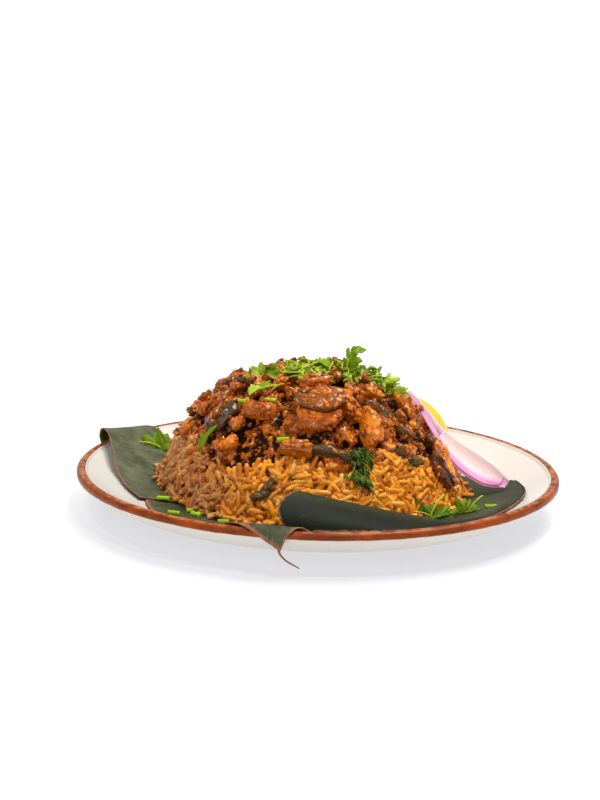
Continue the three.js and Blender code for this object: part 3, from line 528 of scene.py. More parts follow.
def cooked_rice():
    """Grains stained by the masala: tan where dry, orange and oily where the sauce reached."""
    f = Finish("cooked_rice")
    shade, streak, ends = f.mark("shade"), f.streaks(2.2, 7.0), f.axis(f.uv(), "X")
    oiled = f.step(0.1, 0.9, f.mark("stain") + (f.cloud(8) - 0.5) * 1.1)
    dry, wet = f.blend((168, 98, 42), (216, 148, 80), streak), f.blend((236, 116, 2), (255, 178, 42), streak)
    light = f.blend((226, 170, 116), (255, 196, 88), oiled)
    colour = f.layers(
        dry, (wet, oiled), ((160, 66, 6), f.patches(0.58, 0.8, 3.4, detail=4.0) * 0.4),
        (light, f.step(0.6, 1.0, shade) * 0.55), ((140, 58, 6), f.step(0.45, 0.0, shade) * 0.75),
        ((236, 184, 122), (f.step(0.1, 0.0, ends) + f.step(0.9, 1.0, ends)) * 0.25))
    height = f.streaks(1.5, 5.0, detail=2.0) * 0.7 + f.cloud(0.6) * 0.3
    return f.done(colour, 0.3 + 0.2 * f.cloud(2.5), f.relief(height, 0.12), specular_ior_level=0.12,
                  coat_weight=0.25, coat_roughness=0.1, subsurface_weight=0.15,
                  subsurface_radius=(0.004, 0.002, 0.0005), subsurface_scale=0.6)


def rice_underneath():
    """The dark between the grains: painted shade."""
    f = Finish("rice_underneath")
    grain = f.cells(2.6)
    colour = f.layers((120, 62, 16), ((48, 22, 6), f.step(0.2, 0.6, grain)), ((84, 40, 10), f.cloud(9)))
    return f.done(colour, 0.45 + 0.2 * f.cloud(4), f.relief(1 - grain, 1.2))


def oily_mince():
    """Mince and masala, wet with oil: orange, with painted light on its crests and painted shade, near black, in
    its hollows and creases.
    """
    f = Finish("oily_mince")
    # deep is painted shade: it is full where the hollow mark says a point lies low among its neighbours.
    deep, coarse = f.step(0.48, 0.2, f.mark("hollow")), f.crumbs(2.6)
    height = coarse * 0.6 + f.crumbs(1.2) * 0.4
    # The crumbs' height lightens their tops a little: painted light.
    share = f.mark("tone") * 0.5 + f.cloud(5, detail=5.0, rough=0.7) * 0.95 + height * 0.2 - 0.37
    seed = f.dots(0.10, 0.16, 4.2) * f.patches(0.55, 0.62, 10, detail=1.0)
    elsewhere = f.node("ShaderNodeMapping", {}, {
        "Vector": f.spot(), "Location": (0.031, 0.017, 0.0), "Scale": (1000, 1000, 1000)})
    fleck = f.dots(0.09, 0.15, 5.1, elsewhere) * f.patches(0.5, 0.6, 13)
    colour = f.layers(
        f.ramp(share, (0.0, (48, 24, 6)), (0.24, (124, 58, 6)), (0.46, (206, 100, 6)), (0.7, (246, 148, 30)),
               (1.0, (255, 196, 90))),
        # Painted shade: darker in the creases between the coarse crumbs.
        ((112, 48, 2), f.step(0.3, 0.05, coarse) * 0.35),
        ((44, 20, 4), f.patches(0.60, 0.72, 3.6, detail=4.0, rough=0.7) * 0.7),
        # Painted shade: near black where deep, in the hollows.
        ((22, 10, 3), deep * 0.97), ((240, 196, 104), seed * 0.8), ((52, 64, 14), fleck * 0.8))
    normal = f.relief(height * 0.5 + f.cloud(1.1, detail=4.0, rough=0.7) * 0.65, 1.0)
    return f.done(colour, 0.16 + 0.3 * f.patches(0.35, 0.7, 3.2) + deep * 0.3, normal,
                  specular_ior_level=0.04, coat_weight=0.7 - deep * 0.6, coat_roughness=0.05)


def stewed(name, dark, mid, light, gloss, sauce, skin=None):
    """Stewed vegetable under a film of sauce, with painted light and shade on the sauce's crumbs and a painted
    shadow along an aubergine's fold; skin is the colour of its peel, where it has any.
    """
    f = Finish(name)
    fibre = f.streaks(3.0, 16.0)
    colour = f.ramp(f.cloud(8, detail=5.0, rough=0.65, warp=0.5), (0.25, dark), (0.5, mid), (0.8, light))
    colour = f.blend(colour, light, f.step(0.55, 0.8, fibre) * 0.4)
    if skin:
        peel = f.step(0.35, 0.65, f.mark("peel") + (f.cloud(5) - 0.5) * 0.5)
        colour = f.blend(colour, skin, peel * (1 - 0.4 * f.step(0.5, 0.8, fibre)))
    film = f.step(0.62 - 0.3 * sauce, 0.74 - 0.3 * sauce, f.cloud(6.5, detail=5.0, rough=0.65))
    crumb = f.crumbs(1.5) * 0.5 + f.cloud(1.3, detail=4.0, rough=0.7) * 0.5
    # The sauce's crumbs are paler on their tops and darker in their creases: painted light and shade.
    clinging = f.blend((120, 44, 4), (238, 128, 22), f.step(0.2, 0.8, crumb))
    colour = f.layers(
        colour, (clinging, film * 0.85), ((40, 18, 4), f.patches(0.6, 0.76, 2.6, detail=4.0) * 0.6),
        # Painted shadow: near black along the fold under an aubergine's hood.
        ((30, 12, 3), f.mark("fold") * 0.9))
    normal = f.relief(f.cloud(2.4, detail=4.0) * 0.7 + fibre * 0.2 + crumb * film * 0.7, 0.9)
    return f.done(colour, gloss + 0.22 * f.patches(0.4, 0.75, 2.8), normal, specular_ior_level=0.06,
                  coat_weight=0.6, coat_roughness=0.05)


def red_onion():
    """Layered flesh: white within, streaked with rose, and magenta along its skin edge; a faint painted glow
    brightens it.
    """
    f = Finish("red_onion")
    across, along = f.axis(f.uv(), "Y"), f.axis(f.uv(), "X")
    vein, grit = f.streaks(1.2, 26.0, rough=0.6), f.streaks(60.0, 40.0)
    edge = f.step(0.62, 0.0, across + (vein - 0.5) * 0.4)
    foot = f.step(0.74, 1.0, along + (vein - 0.5) * 0.4)
    neck = f.step(0.42, 0.12, along + (vein - 0.5) * 0.25)
    blot = f.step(0.5, 0.62, f.streaks(9.0, 7.0, detail=4.0, rough=0.65))
    skin = f.blend((240, 196, 222), (178, 70, 148), f.step(0.4, 0.58, vein) * 0.6 + blot * 0.4)
    colour = f.layers(
        (246, 230, 220), ((238, 204, 210), f.step(0.42, 0.75, vein) * 0.7 + grit * 0.3),
        ((222, 152, 192), f.step(0.1, 1.1, edge + foot * 0.6 + neck * 0.5)),
        ((176, 72, 138), f.step(0.45, 0.85, edge + neck * 0.3) * f.step(0.42, 0.58, vein)),
        (skin, f.mark("rind") * f.step(0.95, 0.7, across) * 0.85))
    return f.done(colour, 0.26 + 0.12 * f.cloud(5), f.relief(vein * 0.7 + grit * 0.3, 0.45),
                  # Painted light: the flesh glows faintly in its own colour, to look more brightly lit.
                  specular_ior_level=0.2, emission_color=colour, emission_strength=0.16,
                  subsurface_weight=0.25, subsurface_radius=(0.006, 0.003, 0.003))


def lemon():
    """Pored yellow rind, a white pith line, and pulp in the cut faces, with a faint painted glow."""
    f = Finish("lemon")
    rind, pore = f.mark("rind"), f.cells(1.7)
    zest = f.layers((252, 168, 22), ((255, 196, 60), f.cloud(12)),
                    ((240, 146, 16), (1 - f.step(0.05, 0.3, pore)) * 0.4))
    colour = f.layers((240, 214, 110), ((252, 238, 170), f.streaks(18, 3)),
                      ((250, 246, 226), f.mark("pith")), (zest, rind))
    dimple = f.relief(f.step(0.0, 0.45, pore) * rind + f.cloud(2, detail=2.0) * 0.3, 0.35)
    return f.done(colour, 0.34 - 0.1 * rind + 0.1 * f.cloud(4), dimple, specular_ior_level=0.2,
                  # Painted light: the lemon glows faintly in its own colour, to look more brightly lit.
                  emission_color=colour, emission_strength=0.14, subsurface_weight=0.15,
                  subsurface_radius=(0.005, 0.004, 0.001))


def fresh_herb(name, dark, mid, light):
    """A green leaf with a pale midrib and fanning veins."""
    f = Finish(name)
    across, along, vein = f.axis(f.uv(), "Y"), f.axis(f.uv(), "X"), f.streaks(0.8, 20.0, detail=2.0)
    rib = f.step(0.035, 0.0, (across - 0.5).maths("ABSOLUTE")) * f.step(1.0, 0.3, along)
    share = f.mark("tint") * 0.75 + f.cloud(3.5, detail=4.0) * 0.3
    colour = f.layers(f.ramp(share, (0.0, dark), (0.5, mid), (1.0, light)), (light, rib * 0.7),
                      (dark, f.step(0.55, 0.75, vein) * 0.35), (light, f.mark("stalk") * 0.75))
    return f.done(colour, 0.34 + 0.2 * f.cloud(3), f.relief(vein * 0.6 + f.cloud(1.4) * 0.4, 0.3),
                  specular_ior_level=0.15, subsurface_weight=0.1, subsurface_radius=(0.002, 0.004, 0.001))


FINISH = {
    "plate": glazed_stoneware(), "leaf": banana_leaf(), "rice": cooked_rice(), "underneath": rice_underneath(),
    "mince": oily_mince(), "onion": red_onion(), "lemon": lemon(),
    "aubergine": stewed("stewed_aubergine", (126, 50, 4), (192, 92, 10), (236, 146, 30), 0.12, 0.22,
                        (136, 74, 12)),
    "aubergine_skin_side": stewed("aubergine_skin_side", (66, 40, 14), (96, 62, 24), (136, 92, 40), 0.1, 0.1,
                                  (74, 50, 20)),
    "aubergine_browned": stewed("aubergine_browned", (66, 26, 8), (112, 50, 16), (160, 84, 34), 0.1, 0.25,
                                (84, 34, 12)),
    "golden_flesh": stewed("golden_flesh", (176, 72, 4), (222, 116, 12), (250, 176, 60), 0.16, 0.4),
    "peel": stewed("aubergine_peel", (82, 60, 26), (126, 98, 50), (196, 168, 108), 0.12, 0.3, (82, 62, 30)),
    "carrot": stewed("stewed_carrot", (128, 54, 6), (186, 92, 14), (236, 146, 44), 0.14, 0.5),
    "herb": fresh_herb("coriander", (58, 84, 2), (118, 148, 8), (204, 214, 70)),
    "dark_herb": fresh_herb("wilted_coriander", (10, 20, 4), (34, 58, 8), (120, 150, 40)),
    "chive": fresh_herb("chive", (100, 150, 8), (150, 196, 20), (204, 230, 60)),
}


# ---- The plate ----------------------------------------------------------------------------

def plate_top(r):
    return FLOOR + WALL_RISE * (np.maximum(0, r - FLAT) / (MOUTH - FLAT)) ** WALL_BEND


def plate_under(r):
    return UNDER_LOW + WALL_RISE * (np.maximum(0, r - UNDER_START) / (UNDER_END - UNDER_START)) ** 2


def plate_outline():
    """Half the plate's section, from the middle of its underside round the lip to its top."""
    foot = [(0, 2.2), (40, 2.2), (80, 2.2), (84.6, 2.1), (85.6, 1.5), (86.2, 0.6), (87, 0.1), (88, 0), (91, 0),
            (92.1, 0.1), (92.8, 0.6), (93.4, 1.8), (94.4, plate_under(94.4) - 0.1)]
    wall = [(r, plate_under(r)) for r in np.linspace(96, 133.6, 16)]
    lip = [(134.4, 18.1), (134.8, 19.2), (135, 20.4), (134.85, 21.4), (134.3, 22.2), (133.4, 22.75), (132.2, 23),
           (131, 22.85), (130.1, 22.4), (129.6, 21.9), (129.3, 21.35), (129.0, 20.95)]
    inside = [(r, plate_top(r)) for r in np.linspace(128, 73, 26)]
    return [*foot, *wall, *lip, *inside, (66, 6.2), (40, 6.2), (0, 6.2)]


def thrown_on_wheel(outline, turns):
    """The wheel's rule: each point of the outline is carried round the middle."""
    rule = Rule("thrown_on_wheel", {"Turns": turns, "Middle": tuple(MIDDLE), "Glaze": FINISH["plate"]})
    section, here = rule.size("Geometry"), rule.node("GeometryNodeInputPosition")
    count = rule.node("GeometryNodeAttributeDomainSize", {"component": "MESH"}, {0: section}, "Point Count")
    flat = rule.node("GeometryNodeMeshGrid", {}, {
        "Size X": 1.0, "Size Y": 1.0, "Vertices X": count, "Vertices Y": rule.size("Turns") + 1}, "Mesh")
    drawn = rule.node("GeometryNodeSampleIndex", {"data_type": "FLOAT_VECTOR", "domain": "POINT"}, {
        "Geometry": section, "Value": here, "Index": ((rule.axis(here, "X") + 0.5) * (count - 1)).maths("ROUND")})
    reach, angle = rule.axis(drawn, "X"), (rule.axis(here, "Y") + 0.5) * TAU
    around = rule.node("ShaderNodeCombineXYZ", {}, {
        0: reach * angle.maths("COSINE"), 1: reach * angle.maths("SINE"), 2: rule.axis(drawn, "Z")})
    bent = rule.node("GeometryNodeSetPosition", {}, {
        "Geometry": flat, "Position": rule.vector("ADD", around, rule.size("Middle"))})
    rule.ends_in(rule.node("GeometryNodeMergeByDistance", {}, {"Geometry": bent, "Distance": 1e-6}), "Glaze")
    seed = bpy.data.meshes.new("outline")
    seed.from_pydata([(r * MM, 0, z * MM) for r, z in outline], [(k, k + 1) for k in range(len(outline) - 1)], [])
    made = rule.grow(seed, "stoneware_plate")
    made.shade_smooth()
    return turned_out(made)


piece(thrown_on_wheel(plate_outline(), 200), "stoneware", "plate")


# ---- Banana leaf --------------------------------------------------------------------------

def rest_on(x, y, lift):
    """Height of a sheet that lies on the plate, or over its lip further out."""
    r = np.hypot(x, y)
    on_plate = plate_top(np.minimum(r, MOUTH)) + lift
    return mix(on_plate, np.maximum(on_plate, PLATE_HEIGHT + 1.5), ease(MOUTH - 8, MOUTH, r))


LEFT_OUTER = [(-96, -43, 0), (-103, -30, 0), (-110, -14, 0), (-115, 0, 0), (-118.5, 14, 0), (-122.5, 28, 0),
              (-127.5, 42, 0)]
LEFT_INNER = [(-58, -30, 0), (-56, -8, 0), (-57, 14, 0), (-58, 34, 0), (-62, 48, 0), (-66, 58, 0)]


def left_strip(u, v):
    """Lies on the plate, climbs off it at the back left and curls over the lip."""
    t = np.minimum(1, u / 0.84)
    p = mix(line_through(LEFT_OUTER, t), line_through(LEFT_INNER, t), v[..., None])
    p = p + np.array([-5, 25, 0]) * (np.sin(math.pi * v) * t * t)[..., None]
    lifted = 6 * ease(0.34, 0.66, t) * (1 - v) ** 4
    ripple = 0.5 * np.sin(9 * v + 4 * u) * ease(0.1, 0.4, t) * (1 - ease(0.75, 1, v))
    p[..., 2] = rest_on(p[..., 0], p[..., 1], LEAF_UPPER) + lifted + np.maximum(0, ripple)
    bend = math.radians(115) * (1 + 0.45 * ease(0.35, 0.0, v)) * np.maximum(0, u - 0.84) / 0.16
    radius = mix(5.6, 0.2, np.clip(2.2 * v, 0, 1))
    p = p + np.array([-0.6, 0.8, 0]) * (radius * np.sin(bend))[..., None]
    p[..., 2] += radius * (np.cos(bend) - 1)
    return p


def over_lip(reach, lift):
    """Up the plate's wall, over the lip and straight down outside it."""
    crest, wall, top, round_ = PLATE_RADIUS - 3, MOUTH - 2.5, PLATE_HEIGHT + 1.6, 4.6
    t = np.clip((reach - wall) / (crest - wall), 0, 1)
    climb = np.where(reach <= wall, plate_top(reach) + lift,
                     mix(plate_top(wall) + lift, top, np.sin(t * math.pi / 2)))
    past = np.maximum(0, reach - crest)
    angle = np.minimum(past / round_, math.pi / 2 - 0.12)
    drop = np.maximum(0, past - angle * round_)
    r = np.where(reach <= crest, reach, crest + round_ * np.sin(angle) + drop * 0.12)
    z = np.where(reach <= crest, climb, top + round_ * (np.cos(angle) - 1) - drop)
    return r, z


TAIL_EDGE = [(203, 101), (209, 104.5), (216, 108.5), (226, 118), (236, 125.4), (246, 126), (252.6, 131.8),
             (256.6, 136.5), (260.6, 142.5), (263, 145.8), (263.9, 139.5), (266, 133), (269, 127)]


def tail_strip(u, v):
    """Lies under the front of the rice; its torn tail hangs over the lip."""
    turns, reaches = zip(*TAIL_EDGE)
    places = np.linspace(0, 1, len(TAIL_EDGE))
    turn = np.radians(np.interp(u, places, turns))
    outside = np.interp(u, places, reaches)
    knee = np.minimum(outside - 5, MOUTH - 2)
    reach = np.where(v < 0.5, mix(66, knee, v / 0.5), mix(knee, outside, (v - 0.5) / 0.5))
    r, z = over_lip(reach, LEAF_LOWER)
    cockle = 0.45 * np.sin(9 * u + 2) * ease(0.45, 0.7, v) * (1 - ease(0.85, 1, v))
    return np.stack([r * np.cos(turn), r * np.sin(turn), z + np.maximum(0, cockle)], -1)


RIDGE = [(-10.5, -102, 34.8), (4, -99, 30.8), (22, -95, 26.2), (41, -91, 21.6), (53, -88.5, 18.9),
         (65, -87.5, 17.6), (77, -83, 17.2), (88, -74, 16.7), (97, -60, 16.3), (106, -44, 16.3),
         (111.5, -29, 16.2), (113.6, -13, 15.8), (111, 5, 15.2)]
RIDGE_FOOT = [(-14, -121, 19.7), (4, -121.5, 19.6), (24, -119, 19.4), (42, -115, 18.6), (56, -109, 17.8),
              (67, -101, 16.8), (79, -91, 16.2), (90.5, -77.5, 16.1), (99.5, -62, 16.1), (108.3, -45, 16.1),
              (113.7, -29.5, 16.1), (115.2, -12.5, 15.8), (112.4, 6.5, 15.1)]
RIDGE_BACK = [(-8, -58, 0), (4, -56, 0), (18, -54, 0), (30, -50, 0), (40, -46, 0), (48, -40, 0), (55, -32, 0),
              (60, -24, 0), (64, -13, 0), (66, 0, 0), (68, 14, 0), (70, 31, 0), (74, 48, 0)]


def heap_share(x, y):
    return np.hypot((x - HEAP_X) / HEAP_WIDE, (y - HEAP_Y) / HEAP_DEEP)


def roll_strip(u, v):
    """Flat beside the heap, and rolled up into an arch in front of it."""
    back_share = 0.66
    ridge, foot, back = (line_through(line, u) for line in (RIDGE, RIDGE_FOOT, RIDGE_BACK))
    t = np.clip(v / back_share, 0, 1)
    x, y = mix(back[..., 0], ridge[..., 0], t), mix(back[..., 1], ridge[..., 1], t)
    climb = np.clip((heap_share(x, y) - 1.035) / (heap_share(ridge[..., 0], ridge[..., 1]) - 1.035), 0, 1)
    arch = mix(np.sin(climb * math.pi / 2), climb**3, ease(0.3, 0.5, u))
    low = rest_on(x, y, LEAF_UPPER)
    inner = np.stack([x, y, np.maximum(low, mix(low, ridge[..., 2], arch))], -1)
    t = np.clip((v - back_share) / (1 - back_share), 0, 1)
    out, down = np.sin(t * math.pi / 2), 1 - np.cos(t * math.pi / 2)
    bulge = 6 * np.sin(math.pi * t) * (1 - ease(0, 0.12, u))
    x, y = mix(ridge[..., 0], foot[..., 0], out) - bulge, mix(ridge[..., 1], foot[..., 1], out)
    z = np.maximum(mix(ridge[..., 2], foot[..., 2], down), rest_on(x, y, LEAF_UPPER - 0.5))
    return np.where((v <= back_share)[..., None], inner, np.stack([x, y, z], -1))


def torn(count, seed):
    """A ragged line from 0 to 1, for a torn edge."""
    draw = np.random.default_rng(seed)
    broad, fine = (np.interp(np.linspace(0, teeth, count), np.arange(teeth + 1), draw.uniform(0, 1, teeth + 1))
                   for teeth in (9, 45))
    return 0.65 * broad + 0.35 * fine


def leaf_strip(shape, rows, columns, tears):
    """A strip from its rule, its edges torn by the shares given for the start and end of u and v."""
    u, v = sheet(rows, columns)
    first_u, last_u, first_v, last_v = tears
    u = u + first_u * torn(columns, 3)[None, :] * (1 - u) ** 10 - last_u * torn(columns, 4)[None, :] * u**10
    v = v + first_v * torn(rows, 5)[:, None] * (1 - v) ** 12 - last_v * torn(rows, 6)[:, None] * v**12
    middle = shape(u, v)
    down, along = (np.cumsum(np.linalg.norm(np.diff(middle, axis=k, prepend=first), axis=-1), k)
                   for k, first in ((0, middle[:1]), (1, middle[:, :1])))
    edge = np.minimum(np.minimum(down, down[-1] - down), np.minimum(along, along[:, -1:] - along)).ravel()
    points, faces = thin_solid(middle, LEAF_THICK)
    run = np.broadcast_to(down.mean(1, keepdims=True), u.shape)
    uv = np.stack([run, along], -1).reshape(-1, 2) / 10
    return points, faces, np.vstack([uv, uv]), np.tile(edge, 2)


leaf_skins = []
# The last number is each strip's bloom, dust and painted sheen: most on the lit left strip, least on the shaded
# roll.
for name, node, shape, rows, columns, tears, dusty in (
    ("leaf_strip_left", "banana_leaf_left", left_strip, 120, 64, (0.03, 0, 0.008, 0), 0.9),
    ("leaf_strip_front", "banana_leaf_tail", tail_strip, 130, 70, (0.012, 0.012, 0, 0.03), 0.5),
    ("leaf_strip_rolled", "banana_leaf_roll", roll_strip, 160, 80, (0, 0.012, 0, 0), 0.1),
):
    strip = Lot()
    points, faces, uv, edge = leaf_strip(shape, rows, columns, tears)
    # Painted shade: the part of the rolled strip that comes down in front is marked deep and painted near black.
    deep = ease(0.6, 0.8, np.linspace(0, 1, columns)) * (shape is roll_strip)
    strip.add(points, faces, uv, edge=edge * (0.45 if shape is tail_strip else 1),
              face=np.repeat([0.0, 1.0], rows * columns), dusty=dusty, deep=np.tile(deep, 2 * rows))
    if shape is tail_strip:
        t = np.linspace(0, 1, 14)
        fibre = line_through([(-18.2, -135.5, 17.5), (-17.3, -135.4, 13), (-14.5, -135.2, 9.5),
                              (-7.5, -134, 5)], t)
        strip.add(*tube(fibre, mix(0.75, 0.3, t), 7), edge=0, face=1, dusty=dusty, deep=0)
    leaf_skins.append(strip.skin())
    piece(turned_out(strip.mesh(name, FINISH["leaf"])), "banana_leaf", node)

draw = np.random.default_rng(31)
chives = Lot()


def add_chive(place, along, above, long, radius, tint):
    """A cut length of chive, hollow at its ends and a little bent."""
    t = np.linspace(-0.5, 0.5, 6)
    line = place + np.outer(t * long, along) + np.outer(0.5 * (0.25 - t**2), above)
    chives.add(*tube(line, radius * (1 - 0.06 * np.cos(7 * t)), 10, 1.1), tint=tint, stalk=0.0)


for x, y, turn, lift in (
    (-83.5, -38, -6, LEAF_UPPER), (93, -47.5, 4, LEAF_UPPER), (-66.5, -53.5, 5, LEAF_LOWER),
    (-63.5, -62, -32, LEAF_LOWER), (-74.5, -69, -18, LEAF_LOWER), (-48.3, -74, 3, LEAF_LOWER),
    (-19.5, -86.5, -40, LEAF_LOWER),
):
    a = math.radians(turn)
    place = np.array([x, y, rest_on(x, y, lift) + 1.35 + LEAF_THICK / 2 - 0.25])
    add_chive(place, [math.cos(a), math.sin(a), 0], [0, 0, 1], long=draw.uniform(5.6, 7.2),
              radius=draw.uniform(1.15, 1.4), tint=draw.uniform(0.3, 0.75))


# ---- The heap -----------------------------------------------------------------------------

RICE_SUNK = 12
CAP_SUNK, CAP_DEEP = 6.5, 13.5  # how far under the heap's surface the curry's bare cap starts and ends
CURRY_REACH = 0.857
CURRY_LOBES = [(205, 0.01, 14), (232, 0.065, 17), (265, -0.015, 9), (287, 0.05, 10), (308, -0.06, 9),
               (337, 0.06, 13), (40, 0.02, 14), (85, -0.03, 15), (120, 0.035, 14)]


def heap_at(share, turn):
    """Where a share of the heap's oval lies, seen from above."""
    return HEAP_X + HEAP_WIDE * share * np.cos(turn), HEAP_Y + HEAP_DEEP * share * np.sin(turn)


def heap_top(share):
    return HEAP_LOW + HEAP_TALL * (1 - share ** HEAP_POWER)


def curry_edge(turn):
    """How far down the heap the curry comes, as a share of the heap's oval."""
    here = np.degrees(turn) % 360
    edge = CURRY_REACH
    for at, out, wide in CURRY_LOBES:
        edge = edge + out * np.exp(-((((here - at + 180) % 360 - 180) / wide) ** 2))
    return edge


def rice_top(turn, share):
    """The rice stands lower where the curry covers it."""
    return heap_top(share) - RICE_SUNK * (1 - ease(curry_edge(turn) - 0.13, curry_edge(turn) - 0.015, share))


def heap_spot(x, y, lift=0.0):
    """A place on the heap, with the directions along, up and out of it there."""
    share = heap_share(x, y)
    steep = HEAP_TALL * HEAP_POWER * share ** (HEAP_POWER - 2)
    out = unit(np.array([steep * (x - HEAP_X) / HEAP_WIDE ** 2, steep * (y - HEAP_Y) / HEAP_DEEP ** 2, 1.0]))
    level = unit(np.array([-(y - HEAP_Y), x - HEAP_X, 0.0]))
    return np.array([x, y, heap_top(share)]) + out * lift, level, np.cross(out, level), out


def on_heap(x, y, turn, lift):
    """Where a thing that lies on the heap starts, with its way and facing."""
    place, level, up, out = heap_spot(x, y, lift)
    a = math.radians(turn)
    return place, level * math.cos(a) + up * math.sin(a), out


def heap_shell(top, bottom, reach, rings, spokes):
    """A closed heap between two skins, out to a reach that varies with the turn."""
    turn = np.linspace(0, TAU, spokes, endpoint=False)
    share = (np.arange(1, rings + 1) / rings)[:, None] * reach(turn)[None, :]
    turns = np.broadcast_to(turn, share.shape)
    x, y = heap_at(share, turns)
    skins = [np.stack([x, y, skin(turns, share)], -1).reshape(-1, 3) for skin in (top, bottom)]
    ends = [[HEAP_X, HEAP_Y, float(skin(np.zeros(1), np.full(1, 1e-3))[0])] for skin in (top, bottom)]
    size, last = rings * spokes, (rings - 1) * spokes
    faces = grid(rings, spokes, 0, True) + [f[::-1] for f in grid(rings, spokes, size, True)]
    for k in range(spokes):
        after = (k + 1) % spokes
        faces += [[2 * size, k, after], [2 * size + 1, size + after, size + k],
                  [last + after, last + k, size + last + k, size + last + after]]
    return np.vstack([*skins, ends]), faces


def basis_turned(level, up, out, turn, lean=0.0, roll=0.0):
    """A shape's directions when it lies in the surface, turned about its normal and then leaned."""
    base = Matrix((level, up, out)).transposed()
    return base @ Matrix.Rotation(turn, 3, "Z") @ Matrix.Rotation(lean, 3, "Y") @ Matrix.Rotation(roll, 3, "X")


# ---- Things that are strewn ---------------------------------------------------------------

def strew(name, shapes, finish, things):
    """A plain mesh of strewn things, each of them a place, a turned basis, a size, the number of its
    shape and its marks. The rule puts the shapes, turned and sized, on the points of a seed mesh."""
    holder = bpy.data.collections.new(name + "_shapes")
    for k, (points, faces, uv, marks) in enumerate(shapes):
        shape = bpy.data.meshes.new(f"{name}_{k}")
        shape.from_pydata(np.asarray(points).tolist(), [], faces)
        dress(shape, uv, {label: np.full(len(points), value) for label, value in marks.items()})
        holder.objects.link(bpy.data.objects.new(f"{name}_{k}", shape))
    rule = Rule(name, {"Shapes": holder, "Overall Size": 1.0, "Finish": finish})
    kinds = rule.node("GeometryNodeCollectionInfo", {}, {
        "Collection": rule.size("Shapes"), "Separate Children": True, "Reset Children": True})
    facing = rule.node("FunctionNodeEulerToRotation", {}, {0: rule.field("facing", "FLOAT_VECTOR")})
    scale = rule.scaled(rule.field("size", "FLOAT_VECTOR"), rule.size("Overall Size"))
    rule.ends_in(rule.node("GeometryNodeInstanceOnPoints", {}, {
        "Points": rule.size("Geometry"), "Instance": kinds, "Pick Instance": True,
        "Instance Index": rule.field("pick"), "Rotation": facing, "Scale": scale}), "Finish")

    places, turned, sizes, picks, own = zip(*things)
    marks = {"facing": np.array([basis.to_euler() for basis in turned]),
             "size": np.array([np.broadcast_to(size, 3) for size in sizes]) * MM, "pick": picks}
    used = list(marks)
    marks.update({label: [mark[label] for mark in own] for label in own[0]})
    made = rule.grow(mesh_of(name + "_seed", np.array(places), [], marks=marks), name)
    for shape in list(holder.objects):
        bpy.data.objects.remove(shape)
    bpy.data.collections.remove(holder)
    for label in used:
        if label in made.attributes:
            made.attributes.remove(made.attributes[label])
    made.shade_smooth()
    return made


# ---- Rice ---------------------------------------------------------------------------------

def grain_shape(bend, flat, first_end, last_end, sides=6):
    """A cooked grain, 1 long and 1 wide, with blunt ends and a shallow groove on each side."""
    stops = np.array([-0.48, -0.39, -0.14, 0.12, 0.38, 0.48])
    girth = np.array([first_end, 0.47, 0.5, 0.51, 0.48, last_end])[:, None]
    turn = np.linspace(0, TAU, sides, endpoint=False)
    section = 1 - 0.07 * np.cos(2 * turn)
    x = np.repeat(stops, sides)
    y = (girth * section * np.cos(turn)).ravel()
    z = (girth * section * np.sin(turn) * flat).ravel() + bend * (0.25 - x**2) * 4
    points = np.vstack([np.stack([x, y, z], -1), [[-0.5, 0, 0], [0.5, 0, 0]]])
    uv = np.stack([np.append(x + 0.5, [0, 1]), np.append(np.tile(turn / 6.28, len(stops)), [0, 0])], -1)
    return points, [f[::-1] for f in closed_rings(len(stops), sides)], uv, {}


def plate_skin(rings=60, spokes=96):
    turns = np.linspace(0, TAU, spokes, endpoint=False)
    points = [[r * math.cos(a), r * math.sin(a), plate_top(r)]
              for r in np.linspace(0.5, 129, rings) for a in turns]
    return np.array(points), grid(rings, spokes, wrap=True)


ground = target([plate_skin(), *leaf_skins])


def ground_at(x, y):
    hit = ground.ray_cast(Vector((x, y, 60)), Vector((0, 0, -1)))
    return (hit[0].z, hit[1]) if hit[0] else (plate_top(math.hypot(x, y)), Vector((0, 0, 1)))


def stain_at(x, z, draw):
    """Oilier and more orange to the right and close under the curry."""
    return float(np.clip(0.1 + 0.85 * ease(-66, -26, x) + 0.16 * ease(12, 36, z) + draw.normal(0, 0.2), 0, 1))


def about_heap(x, y):
    """How far from the heap's middle, across and along, and in which direction, in degrees."""
    off = np.stack([x - HEAP_X, y - HEAP_Y], -1)
    return off, np.degrees(np.arctan2(off[..., 1], off[..., 0])) % 360


def drawn_in(points):
    """The heap's foot stands in a little at its left, where the leaf shows beside it."""
    points = np.asarray(points, float)
    x, y = points[..., 0], points[..., 1]
    off, turn = about_heap(x, y)
    pull = 0.085 * np.exp(-(((turn - 207) / 30) ** 2)) * ease(0.58, 0.92, heap_share(x, y))
    return np.concatenate([(HEAP_X, HEAP_Y) + off * (1 - pull)[..., None], points[..., 2:]], -1)


